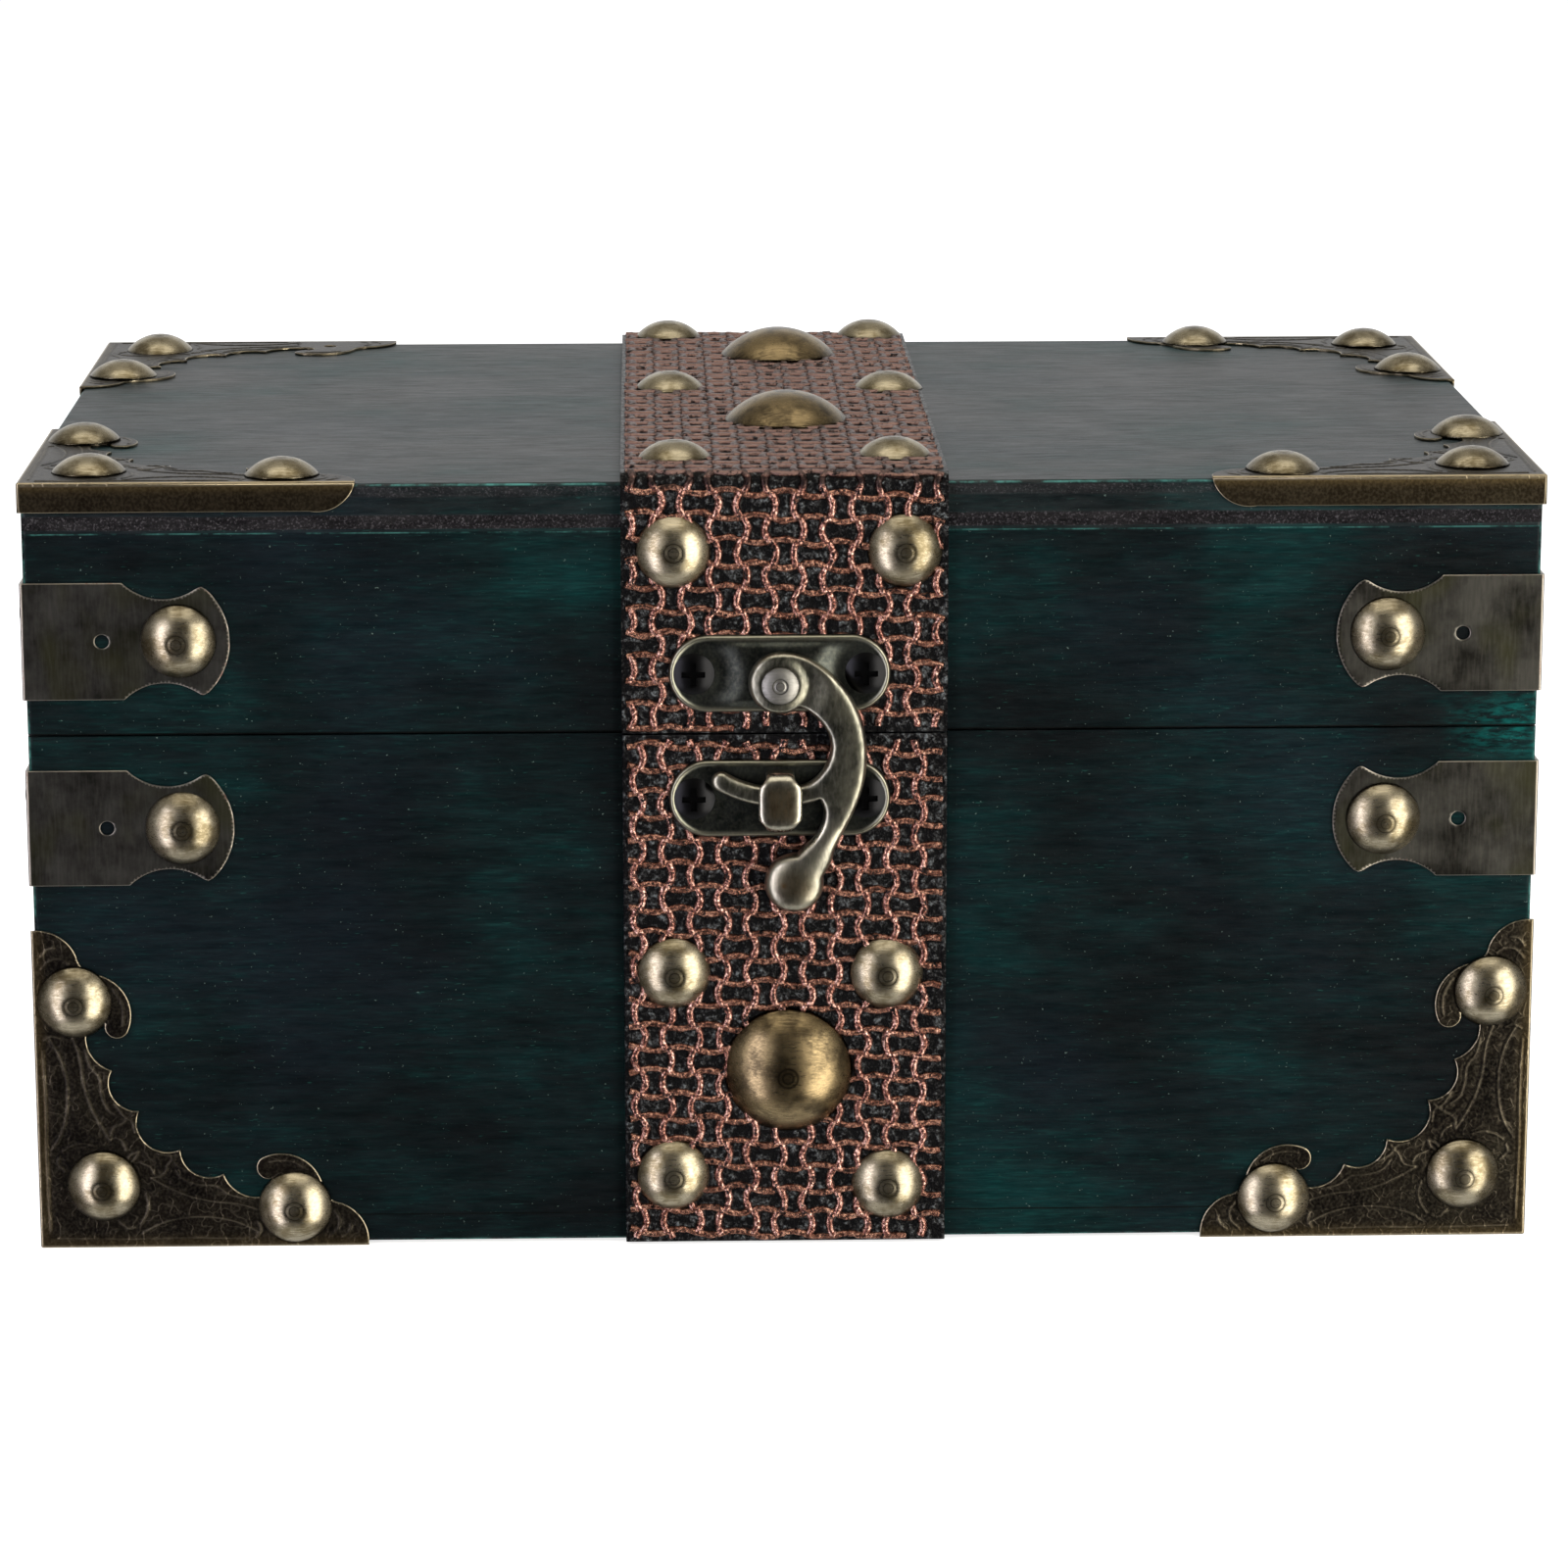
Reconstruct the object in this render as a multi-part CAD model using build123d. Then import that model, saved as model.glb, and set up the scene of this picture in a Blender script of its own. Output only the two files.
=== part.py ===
from build123d import *
import os
from math import asin, cos, degrees, radians, sin

os.makedirs("parts", exist_ok=True)

# A small wooden treasure chest: a box and a lid of boards, brass corner plates and edge clips
# held by dome nails, an embossed strap round the middle, a swing latch in front and two butt
# hinges at the back. X is the width, Y the depth with the front at -Y, Z is up.

# Boards
width = 230.0
depth = 145.0
body_height = 80.6
lid_height = 38.4
lid_gap = 0.3
wall = 7.5
top_thickness = 7.4
bottom_thickness = 4.5
edge_easing = 0.8

# Sheet brass of the corner plates and edge clips
sheet = 0.5
fold_radius = 0.35
corner_flange = 4.1
corner_flange_run = 6.8
clip_length = 31.0
clip_height = 18.0
clip_shoulder = 14.9
clip_tail = 26.9
clip_waist = 2.55
clip_tip_out = 0.7
clip_tip_in = 1.05
clip_ear_in = 0.35
lid_clip_rise = 14.5
body_clip_drop = 14.2
corner_to_clip = 7.1
nail_hole_radius = 1.1
clip_hole_at = 11.7
clip_nail_at = 23.2

# Dome nails
nail_dome_radius = 5.5
nail_dome_rise = 2.8
nail_shank = 1.5
nail_length = 7.0
nail_edge_gap = 0.385
large_dome_radius = 10.0
large_dome_rise = 4.8
large_nail_shank = 2.0
large_nail_length = 8.0

# Strap
strap_width = 49.5
strap_thickness = 1.5
strap_edge_radius = 0.3

# Latch
latch_x = -0.8
rivet_rise = 8.1
plate_length = 33.8
plate_height = 12.0
plate_thickness = 0.8
plate_rim_radius = 0.3
lid_plate_rise = 1.2
keeper_drop = 18.2
latch_screw_spacing = 26.2
latch_screw_radius = 3.2
latch_screw_rise = 0.9
latch_screw_shank = 1.2
latch_screw_length = 8.5
latch_screw_play = 0.3
cross_width = 0.9
cross_length = 3.6
cross_depth = 0.6
boss_rise = 1.0
boss_recess_radius = 5.3
boss_recess_slope = 1.2
rivet_radius = 1.9
rivet_head_radius = 2.85
rivet_head_rise = 1.3
rivet_head_edge = 0.5
running_play = 0.06
seat_play = 0.02
arm_play = 0.15
arm_thickness = 1.8
arm_edge_radius = 0.4
arm_reach = 17.65
arm_eye_radius = 4.6
tine_width = 2.2
thumb_radius = 4.1
thumb_rise = 1.2
keeper_play = 0.35
keeper_bar = 1.4
keeper_width = 6.6
keeper_height = 9.0
keeper_leg = 1.1
keeper_corner_radius = 1.3
keeper_bend_radius = 0.4

# Hinges
hinge_inset = 53.0
hinge_width = 25.0
leaf_height = 10.0
leaf_thickness = 0.8
leaf_corner_radius = 1.5
knuckle_radius = 2.0
knuckle_gap = 0.3
hinge_pin_radius = 1.0
hinge_pin_head_rise = 0.3
hinge_pin_head_radius = 1.5
hinge_screw_radius = 1.8
hinge_screw_rise = 0.7
hinge_screw_shank = 0.8
hinge_screw_length = 6.0
hinge_screw_spacing = 15.0
hinge_screw_play = 0.15

# How far a cutting solid runs past what it cuts
overrun = 1.0
# Points nearer than this are taken as the same one
same_place = 0.05
half_right_angle = radians(45)

# Sizes that follow from those above
lid_bottom = body_height + lid_gap
total_height = lid_bottom + lid_height
board_bottom = total_height - top_thickness
lid_board_height = board_bottom - lid_bottom
body_board_height = body_height - bottom_thickness
lid_clip_z = lid_bottom + lid_clip_rise
body_clip_z = body_height - body_clip_drop
corner_leg = body_clip_z - clip_height / 2 - corner_to_clip
rivet_z = lid_bottom + rivet_rise
hinge_x = width / 2 - hinge_inset
leg_nail_edge = nail_dome_radius + nail_edge_gap
hinge_axis_y = depth / 2 + knuckle_radius
hinge_axis_z = body_height + lid_gap / 2
arm_level = strap_thickness + plate_thickness + boss_rise + arm_play
arm_face = arm_level + arm_thickness
keeper_inner = arm_face + keeper_play
front_reach = keeper_inner + keeper_bar
back_reach = strap_thickness + nail_dome_rise
standing = Pos(0, (front_reach - back_reach) / 2, sheet)

# Half of a corner plate's curved edge, in shares of the leg, as arcs (through, to), from the
# scallop on the diagonal past two cusps and the hooked lobe to the tip of the leg
scallop_middle_share = (0.322, 0.322)
first_cusp_share = (0.426, 0.302)
edge_arc_shares = (
    ((0.463, 0.229), (0.557, 0.223)),
    ((0.598, 0.167), (0.668, 0.148)),
    ((0.716, 0.158), (0.706, 0.208)),
    ((0.660, 0.245), (0.686, 0.278)),
    ((0.795, 0.272), (0.862, 0.178)),
    ((0.885, 0.140), (0.917, 0.126)),
    ((0.977, 0.080), (1.000, 0.000)),
)
# Nails of a corner plate along its leg, in shares of the leg
corner_nail_share = 0.189
leg_nail_share = 0.775

# Dome nails of the strap: across in shares of half its width, along in shares of the board
lid_front_nail_shares = ((-0.68, 0.732), (0.735, 0.73))
lid_top_nail_shares = (
    (-0.667, 0.093),
    (0.70, 0.105),
    (-0.675, 0.573),
    (0.784, 0.565),
    (-0.675, 0.981),
    (0.76, 0.981),
)
lid_top_large_shares = ((0.06, 0.337), (0.08, 0.823))
body_front_nail_shares = ((-0.69, 0.535), (0.63, 0.533), (-0.70, 0.134), (0.64, 0.113))
body_front_large_share = (0.016, 0.342)
lid_back_nail_shares = ((-0.69, 0.6), (0.69, 0.6))
body_back_nail_shares = ((-0.69, 0.72), (0.69, 0.72), (-0.69, 0.13), (0.69, 0.13))

# The latch arm's two edges, in shares of its reach from the rivet to the tine
arm_outer_shares = (
    (0.33, 0.15),
    (0.62, -0.18),
    (0.72, -0.53),
    (0.71, -0.83),
    (0.60, -1.16),
    (0.44, -1.47),
    (0.34, -1.70),
)
arm_tail_shares = ((-0.03, -1.585), (0.22, -1.485), (0.34, -1.33), (0.395, -1.17), (0.35, -1.0))
arm_inner_shares = ((0.41, -0.73), (0.455, -0.53), (0.36, -0.32), (0.16, -0.2))
thumb_share = (0.12, -1.76)
eye_direction = (1, 0)
tail_direction = (-1, -2)
tine_tip_angle = -120.5
tine_root_angle = -78.2


def save(name, shape):
    export_step(standing * shape, f"parts/{name}.step")


def facing_front(x, z):
    """A place on the front face: local X to the right, Y up, Z out of the wood."""
    return Plane((x, -depth / 2, z), x_dir=(1, 0, 0), z_dir=(0, -1, 0)).location


def facing_back(x, z):
    return Plane((x, depth / 2, z), x_dir=(-1, 0, 0), z_dir=(0, 1, 0)).location


def facing_left(y, z):
    return Plane((-width / 2, y, z), x_dir=(0, -1, 0), z_dir=(-1, 0, 0)).location


def facing_up(x, y):
    return Pos(x, y, total_height)


def four_corners(shape):
    """The front left piece and its three mirror images, by the name of their corner."""
    front_right = mirror(shape, about=Plane.YZ)
    return {
        "front_left": shape,
        "front_right": front_right,
        "back_left": mirror(shape, about=Plane.XZ),
        "back_right": mirror(front_right, about=Plane.XZ),
    }


# Boards


def long_board(height, bottom):
    """A front board, as wide as the box, its two outer upright edges eased."""
    board = Box(width, wall, height, align=(Align.CENTER, Align.MIN, Align.MIN))
    outer = board.edges().filter_by(Axis.Z).group_by(Axis.Y)[0]
    return Pos(0, -depth / 2, bottom) * fillet(outer, edge_easing)


def side_board(height, bottom):
    """A left board, fitted between the front and the back."""
    board = Box(wall, depth - 2 * wall, height, align=(Align.MIN, Align.CENTER, Align.MIN))
    return Pos(-width / 2, 0, bottom) * board


def flat_board(thickness, bottom, outer_edges):
    """A top or bottom board over the whole box, eased at its corners and outer edges."""
    board = Box(width, depth, thickness, align=(Align.CENTER, Align.CENTER, Align.MIN))
    eased = board.edges().filter_by(Axis.Z) + board.edges().group_by(Axis.Z)[outer_edges]
    return Pos(0, 0, bottom) * fillet(eased, edge_easing)


def save_walls(prefix, height, bottom):
    front = long_board(height, bottom)
    left = side_board(height, bottom)
    save(f"{prefix}_front_board", front)
    save(f"{prefix}_back_board", mirror(front, about=Plane.XZ))
    save(f"{prefix}_left_board", left)
    save(f"{prefix}_right_board", mirror(left, about=Plane.YZ))


def save_boards():
    save_walls("body", body_board_height, bottom_thickness)
    save("body_bottom_board", flat_board(bottom_thickness, 0, 0))
    save_walls("lid", lid_board_height, lid_bottom)
    save("lid_top_board", flat_board(top_thickness, board_bottom, -1))


# Corner plates


def scaled(share, size):
    return (share[0] * size, share[1] * size)


def swapped(point):
    return (point[1], point[0])


def corner_edge():
    """The scalloped edge of a corner plate, from one tip to the other."""
    cusp = scaled(first_cusp_share, corner_leg)
    middle = scaled(scallop_middle_share, corner_leg)
    arcs = [ThreePointArc(swapped(cusp), middle, cusp)]
    here = cusp
    for through_share, end_share in edge_arc_shares:
        through = scaled(through_share, corner_leg)
        end = scaled(end_share, corner_leg)
        arcs.append(ThreePointArc(here, through, end))
        arcs.append(ThreePointArc(swapped(here), swapped(through), swapped(end)))
        here = end
    return arcs


def corner_nail_places():
    """The corner's nail, then one in each leg near the outer edge."""
    diagonal = corner_nail_share * corner_leg
    along = leg_nail_share * corner_leg
    return ((diagonal, diagonal), (along, leg_nail_edge), (leg_nail_edge, along))


def corner_flange_plate():
    """The flange along the X leg, with its far end cut to a quarter of an ellipse."""
    straight = corner_leg - corner_flange_run
    through = (
        straight + corner_flange_run * cos(half_right_angle),
        -corner_flange * sin(half_right_angle),
    )
    outline = make_face(
        [
            Polyline(
                (corner_leg, 0),
                (corner_leg, sheet),
                (-sheet, sheet),
                (-sheet, -corner_flange),
                (straight, -corner_flange),
            ),
            ThreePointArc((straight, -corner_flange), through, (corner_leg, 0)),
        ]
    )
    return extrude(Plane.XZ * outline, amount=sheet)


def corner_plate():
    """A plate on the XY plane, its corner at the origin, with a flange down each outer side."""
    face = make_face(
        corner_edge()
        + [
            Polyline(
                (corner_leg, 0),
                (corner_leg, -sheet),
                (-sheet, -sheet),
                (-sheet, corner_leg),
                (0, corner_leg),
            )
        ]
    )
    flange = corner_flange_plate()
    plate = extrude(face, amount=sheet) + flange
    plate += mirror(flange, about=Plane((0, 0, 0), z_dir=(1, -1, 0)))
    folds = [e for e in plate.edges().filter_by(GeomType.LINE) if is_outer_fold(e)]
    plate = fillet(folds, fold_radius)
    for place in corner_nail_places():
        plate -= Pos(*place, 0) * Cylinder(nail_hole_radius, sheet * 2 + overrun)
    return plate


def is_outer_fold(edge):
    """True for the three outer edges that meet at the plate's own corner."""
    corner = Vector(-sheet, -sheet, sheet)
    return min((edge @ 0 - corner).length, (edge @ 1 - corner).length) < same_place


def save_corner_plates():
    plate = corner_plate()
    lid_plate = Pos(-width / 2, -depth / 2, total_height) * plate
    body_plate = facing_front(-width / 2, 0) * plate
    for place, shape in four_corners(lid_plate).items():
        save(f"lid_corner_{place}", shape)
    for place, shape in four_corners(body_plate).items():
        save(f"body_corner_{place}", shape)


# Edge clips


def clip_wing():
    """The wing on the front face: straight sides, a waist and a fishtail end."""
    half = clip_height / 2
    waist_at = (clip_shoulder + clip_tail) / 2
    waist = half - clip_waist
    ear = (clip_tail, half - clip_ear_in)
    tip = (clip_tail + clip_tip_out, half - clip_tip_in)
    upper = [
        Line((-sheet, half), (clip_shoulder, half)),
        ThreePointArc((clip_shoulder, half), (waist_at, waist), ear),
        Line(ear, tip),
    ]
    lower = [mirror(edge, about=Plane.XZ) for edge in upper]
    end = ThreePointArc(tip, (clip_length, 0), (tip[0], -tip[1]))
    back = Line((-sheet, half), (-sheet, -half))
    wing = extrude(make_face(upper + lower + [end, back]), amount=sheet)
    for at in (clip_hole_at, clip_nail_at):
        wing -= Pos(at, 0, 0) * Cylinder(nail_hole_radius, sheet * 2 + overrun)
    return wing


def edge_clip(z):
    """A clip round the front left upright edge, one wing on each face."""
    front = facing_front(-width / 2, z) * clip_wing()
    corner = (-width / 2, -depth / 2, 0)
    side = mirror(front, about=Plane(corner, z_dir=(1, -1, 0)))
    clip = front + side
    fold = clip.edges().filter_by(Axis.Z).group_by(Axis.X)[0].sort_by(Axis.Y)[0]
    return fillet(fold, fold_radius)


def save_clips():
    for prefix, z in (("lid", lid_clip_z), ("body", body_clip_z)):
        for place, shape in four_corners(edge_clip(z)).items():
            save(f"{prefix}_edge_clip_{place}", shape)


# Dome nails


def dome_nail(radius, rise, shank, length):
    """A round dome with a flat underside on the XY plane and a square shank below it."""
    ball = (radius**2 + rise**2) / (2 * rise)
    half_angle = asin(radius / ball) / 2
    through = (ball * sin(half_angle), rise - ball + ball * cos(half_angle))
    section = make_face(
        [
            ThreePointArc((radius, 0), through, (0, rise)),
            Polyline((0, rise), (0, 0), (radius, 0)),
        ]
    )
    dome = revolve(Plane.XZ * section, Axis.Z)
    spike = Box(shank, shank, length, align=(Align.CENTER, Align.CENTER, Align.MAX))
    return dome + spike


def small_nail():
    return dome_nail(nail_dome_radius, nail_dome_rise, nail_shank, nail_length)


def large_nail():
    return dome_nail(large_dome_radius, large_dome_rise, large_nail_shank, large_nail_length)


def corner_nails(place_one):
    """The nails of one corner plate, on top of its sheet."""
    nail = Pos(0, 0, sheet) * small_nail()
    return Compound([place_one * Pos(*place, 0) * nail for place in corner_nail_places()])


def save_corner_nails():
    lid_place = Pos(-width / 2, -depth / 2, total_height)
    lid_nails = []
    for place, group in four_corners(corner_nails(lid_place)).items():
        # The nail of the back left plate's long leg is missing, its hole is empty
        kept = [s for s in group.solids() if place != "back_left" or not in_long_leg(s)]
        lid_nails += kept
    save("lid_corner_nails", Compound(lid_nails))
    body_nails = four_corners(corner_nails(facing_front(-width / 2, 0)))
    save("body_corner_nails", Compound([s for g in body_nails.values() for s in g.solids()]))


def in_long_leg(nail):
    """True for the lid nail that sits in a plate's leg along the box's width."""
    return nail.center().X > -width / 2 + corner_leg / 2


def save_clip_nails():
    nail = Pos(0, 0, sheet) * small_nail()
    for prefix, z in (("lid", lid_clip_z), ("body", body_clip_z)):
        front = facing_front(-width / 2 + clip_nail_at, z) * nail
        side = facing_left(-depth / 2 + clip_nail_at, z) * nail
        groups = four_corners(Compound([front, side]))
        save(f"{prefix}_clip_nails", Compound([s for g in groups.values() for s in g.solids()]))


def strap_nails(place, shares, board_length, board_start, nail):
    """Nails on the strap, spread over one board by their shares."""
    lifted = Pos(0, 0, strap_thickness) * nail
    return [
        place(across * strap_width / 2, board_start + along * board_length) * lifted
        for across, along in shares
    ]


def save_strap_nails():
    small = small_nail()
    large = large_nail()
    lid = strap_nails(facing_front, lid_front_nail_shares, lid_height, lid_bottom, small)
    lid += strap_nails(facing_up, lid_top_nail_shares, depth, -depth / 2, small)
    lid += strap_nails(facing_back, lid_back_nail_shares, lid_height, lid_bottom, small)
    save("lid_strap_nails", Compound(lid))
    body = strap_nails(facing_front, body_front_nail_shares, body_height, 0, small)
    body += strap_nails(facing_back, body_back_nail_shares, body_height, 0, small)
    save("body_strap_nails", Compound(body))
    lid_large = strap_nails(facing_up, lid_top_large_shares, depth, -depth / 2, large)
    save("lid_strap_large_nails", Compound(lid_large))
    body_large = strap_nails(facing_front, (body_front_large_share,), body_height, 0, large)
    save("body_strap_large_nail", body_large[0])


# Strap


def lid_strap():
    """The strap over the lid, from the split in front over the top to the split behind."""
    low = (Align.CENTER, Align.MIN)
    outer = Rectangle(depth + 2 * strap_thickness, lid_height + strap_thickness, align=low)
    outer = fillet(outer.vertices().group_by(Axis.Y)[-1], edge_easing + strap_thickness)
    inner = Rectangle(depth, lid_height, align=low)
    inner = fillet(inner.vertices().group_by(Axis.Y)[-1], edge_easing)
    loop = extrude(Plane.YZ * (outer - inner), amount=strap_width / 2, both=True)
    return Pos(0, 0, lid_bottom) * loop


def body_strap():
    """The front piece of the strap on the body, down to the bottom edge of the box."""
    low = (Align.CENTER, Align.MAX, Align.MIN)
    piece = Box(strap_width, strap_thickness, body_height, align=low)
    outer = piece.edges().filter_by(Axis.Z).group_by(Axis.Y)[0]
    return Pos(0, -depth / 2, 0) * fillet(outer, strap_edge_radius)


def save_straps():
    save("lid_strap", lid_strap())
    front = body_strap()
    save("body_strap_front", front)
    save("body_strap_back", mirror(front, about=Plane.XZ))


# Latch, in a frame with the rivet's axis at the origin and Z out of the front face


def latch_place():
    return facing_front(latch_x, rivet_z)


def stamped_slot(height):
    """A flat plate with round ends and a softened rim."""
    plate = extrude(SlotOverall(plate_length, plate_height), amount=height)
    return fillet(plate.edges().group_by(Axis.Z)[-1], plate_rim_radius)


def screw_holes():
    hole = Cylinder(latch_screw_shank + latch_screw_play, plate_thickness * 2 + overrun)
    spacing = latch_screw_spacing / 2
    return Pos(-spacing, 0, 0) * hole + Pos(spacing, 0, 0) * hole


def boss():
    """The raised middle of the lid's plate, hollowed round each screw."""
    raised = stamped_slot(plate_thickness + boss_rise)
    for side in (-1, 1):
        bowl = Cone(
            boss_recess_radius,
            boss_recess_radius + boss_recess_slope + overrun * boss_recess_slope / boss_rise,
            boss_rise + overrun,
            align=(Align.CENTER, Align.CENTER, Align.MIN),
        )
        end = Box(
            plate_length,
            plate_height + overrun,
            boss_rise + overrun,
            align=(Align.MIN if side > 0 else Align.MAX, Align.CENTER, Align.MIN),
        )
        raised -= Pos(side * latch_screw_spacing / 2, 0, plate_thickness) * (bowl + end)
    return raised


def lid_latch_plate():
    bore = Cylinder(rivet_radius + seat_play, (plate_thickness + boss_rise) * 2 + overrun)
    plate = stamped_slot(plate_thickness) + boss() - screw_holes()
    plate -= Pos(0, -lid_plate_rise, 0) * bore
    return Pos(0, lid_plate_rise, strap_thickness) * plate


def keeper_loop():
    """The loop that the tine slips through: a bar held off the plate by two bent legs."""
    base = strap_thickness + plate_thickness / 2
    out = keeper_inner + keeper_bar - base
    low = (Align.CENTER, Align.MIN)
    outer = Rectangle(keeper_height, out, align=low)
    outer = fillet(outer.vertices().group_by(Axis.Y)[-1], keeper_bar + keeper_bend_radius)
    inner = Rectangle(keeper_height - 2 * keeper_leg, out - keeper_bar, align=low)
    inner = fillet(inner.vertices().group_by(Axis.Y)[-1], keeper_bend_radius)
    loop = extrude(Plane.YZ * (outer - inner), amount=keeper_width / 2, both=True)
    rounded = RectangleRounded(keeper_width, keeper_height, keeper_corner_radius)
    return Pos(0, 0, base) * (loop & extrude(rounded, amount=out))


def keeper_plate():
    plate = Pos(0, 0, strap_thickness) * (stamped_slot(plate_thickness) - screw_holes())
    return Pos(0, -keeper_drop, 0) * (plate + keeper_loop())


def cross_screw():
    """A black countersunk-look screw with a cross in its head, its seat on the XY plane."""
    head = dome_nail(latch_screw_radius, latch_screw_rise, latch_screw_shank, latch_screw_rise)
    head -= Box(
        latch_screw_radius * 2,
        latch_screw_radius * 2,
        latch_screw_length,
        align=(Align.CENTER, Align.CENTER, Align.MAX),
    )
    for turn in (0, 90):
        slot = Box(cross_length, cross_width, cross_depth * 2)
        head -= Pos(0, 0, latch_screw_rise) * Rot(0, 0, turn) * slot
    shank = Cylinder(
        latch_screw_shank,
        latch_screw_length,
        align=(Align.CENTER, Align.CENTER, Align.MAX),
    )
    return head + shank


def latch_screws(drop):
    seat = strap_thickness + plate_thickness
    screw = cross_screw()
    return Compound(
        [Pos(side * latch_screw_spacing / 2, drop, seat) * screw for side in (-1, 1)]
    )


def latch_rivet():
    """A button-headed rivet from the strap's face through the plate and the arm's eye."""
    head_seat = arm_face + running_play
    shank = Cylinder(
        rivet_radius,
        head_seat - strap_thickness,
        align=(Align.CENTER, Align.CENTER, Align.MIN),
    )
    head = Cylinder(
        rivet_head_radius,
        rivet_head_rise,
        align=(Align.CENTER, Align.CENTER, Align.MIN),
    )
    head = fillet(head.edges().group_by(Axis.Z)[-1], rivet_head_edge)
    return Pos(0, 0, strap_thickness) * shank + Pos(0, 0, head_seat) * head


def polar(radius, angle):
    return (radius * cos(radians(angle)), radius * sin(radians(angle)))


def arm_outline():
    """The crescent, its tine and its tail, without the eye and the thumb piece."""
    eye_top = (0, arm_eye_radius)
    outer = Spline(
        [eye_top] + [scaled(s, arm_reach) for s in arm_outer_shares],
        tangents=[eye_direction, tail_direction],
    )
    inside = arm_reach - tine_width / 2
    outside = arm_reach + tine_width / 2
    bend = (tine_root_angle + tine_tip_angle) / 2
    root = polar(inside, tine_root_angle)
    inner = Spline([root] + [scaled(s, arm_reach) for s in arm_inner_shares])
    notch = scaled(arm_tail_shares[-1], arm_reach)
    tine_under = ThreePointArc(notch, polar(outside, bend), polar(outside, tine_tip_angle))
    tip_turn = tine_tip_angle - degrees(tine_width / 2 / arm_reach)
    tip = ThreePointArc(tine_under @ 1, polar(arm_reach, tip_turn), polar(inside, tine_tip_angle))
    tine_top = ThreePointArc(tip @ 1, polar(inside, bend), root)
    tail = Spline([scaled(s, arm_reach) for s in arm_tail_shares])
    return make_face(
        [
            outer,
            Line(outer @ 1, tail @ 0),
            tail,
            tine_under,
            tip,
            tine_top,
            inner,
            Line(inner @ 1, eye_top),
        ]
    )


def latch_arm():
    """The swing arm: an eye on the rivet, a tine for the keeper, a thumb piece at the end."""
    thumb_at = Pos(*scaled(thumb_share, arm_reach))
    flat = arm_outline() + Circle(arm_eye_radius) + thumb_at * Circle(thumb_radius)
    arm = extrude(flat, amount=arm_thickness)
    arm = fillet(arm.edges().group_by(Axis.Z)[-1], arm_edge_radius)
    thumb_ball = thumb_radius - arm_edge_radius
    ball = (thumb_ball**2 + thumb_rise**2) / (2 * thumb_rise)
    cap = Pos(0, 0, arm_thickness + thumb_rise - ball) * Sphere(ball)
    above = Box(
        thumb_radius * 2,
        thumb_radius * 2,
        thumb_rise,
        align=(Align.CENTER, Align.CENTER, Align.MIN),
    )
    arm += thumb_at * (cap & (Pos(0, 0, arm_thickness) * above))
    arm -= Cylinder(rivet_radius + running_play, arm_thickness * 2 + overrun)
    return Pos(0, 0, arm_level) * arm


def save_latch():
    place = latch_place()
    save("latch_plate", place * lid_latch_plate())
    save("latch_screws", place * latch_screws(lid_plate_rise))
    save("latch_rivet", place * latch_rivet())
    save("latch_arm", place * latch_arm())
    save("keeper_plate", place * keeper_plate())
    save("keeper_screws", place * latch_screws(-keeper_drop))


# Hinges, built at the origin with the pin along X and the wood's back face at -knuckle_radius


def hinge_leaf(side, knuckles):
    """A leaf above (side 1) or below (side -1) the pin, with its share of the knuckle."""
    plate = extrude(
        RectangleRounded(hinge_width, leaf_height, leaf_corner_radius),
        amount=leaf_thickness,
    )
    reach = leaf_height / 2 + knuckle_radius + knuckle_gap
    for at in (-1, 1):
        hole = Cylinder(hinge_screw_shank + hinge_screw_play, leaf_thickness * 2 + overrun)
        plate -= Pos(at * hinge_screw_spacing / 2, 0, 0) * hole
    back = Plane((0, -knuckle_radius, side * reach), x_dir=(-1, 0, 0), z_dir=(0, 1, 0))
    leaf = back.location * plate
    length = hinge_width / 3 - knuckle_gap
    for at in knuckles:
        place = Pos(at * hinge_width / 3, 0, 0)
        leaf += place * Rot(0, 90, 0) * Cylinder(knuckle_radius, length)
        leaf += place * knuckle_web(side, length, reach)
    bore_play = running_play if side > 0 else seat_play
    leaf -= Rot(0, 90, 0) * Cylinder(hinge_pin_radius + bore_play, hinge_width + overrun)
    return leaf


def knuckle_web(side, length, reach):
    """The strip of the leaf that wraps into one knuckle."""
    web = Box(
        length,
        leaf_thickness,
        reach - leaf_height / 2 + leaf_corner_radius,
        align=(Align.CENTER, Align.MIN, Align.MIN if side > 0 else Align.MAX),
    )
    return Pos(0, -knuckle_radius, 0) * web


def hinge_pin():
    head = Cylinder(hinge_pin_head_radius, hinge_pin_head_rise)
    out = hinge_width / 2 + hinge_pin_head_rise / 2
    rod = Cylinder(hinge_pin_radius, hinge_width)
    return Rot(0, 90, 0) * (rod + Pos(0, 0, out) * head + Pos(0, 0, -out) * head)


def hinge_screws(side):
    """The four small screws of both leaves on one side of the split."""
    screw = dome_nail(hinge_screw_radius, hinge_screw_rise, hinge_screw_shank, hinge_screw_length)
    reach = leaf_height / 2 + knuckle_radius + knuckle_gap
    z = hinge_axis_z + side * reach
    return Compound(
        [
            facing_back(hinge * hinge_x + at * hinge_screw_spacing / 2, z)
            * Pos(0, 0, leaf_thickness)
            * screw
            for hinge in (-1, 1)
            for at in (-1, 1)
        ]
    )


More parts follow.
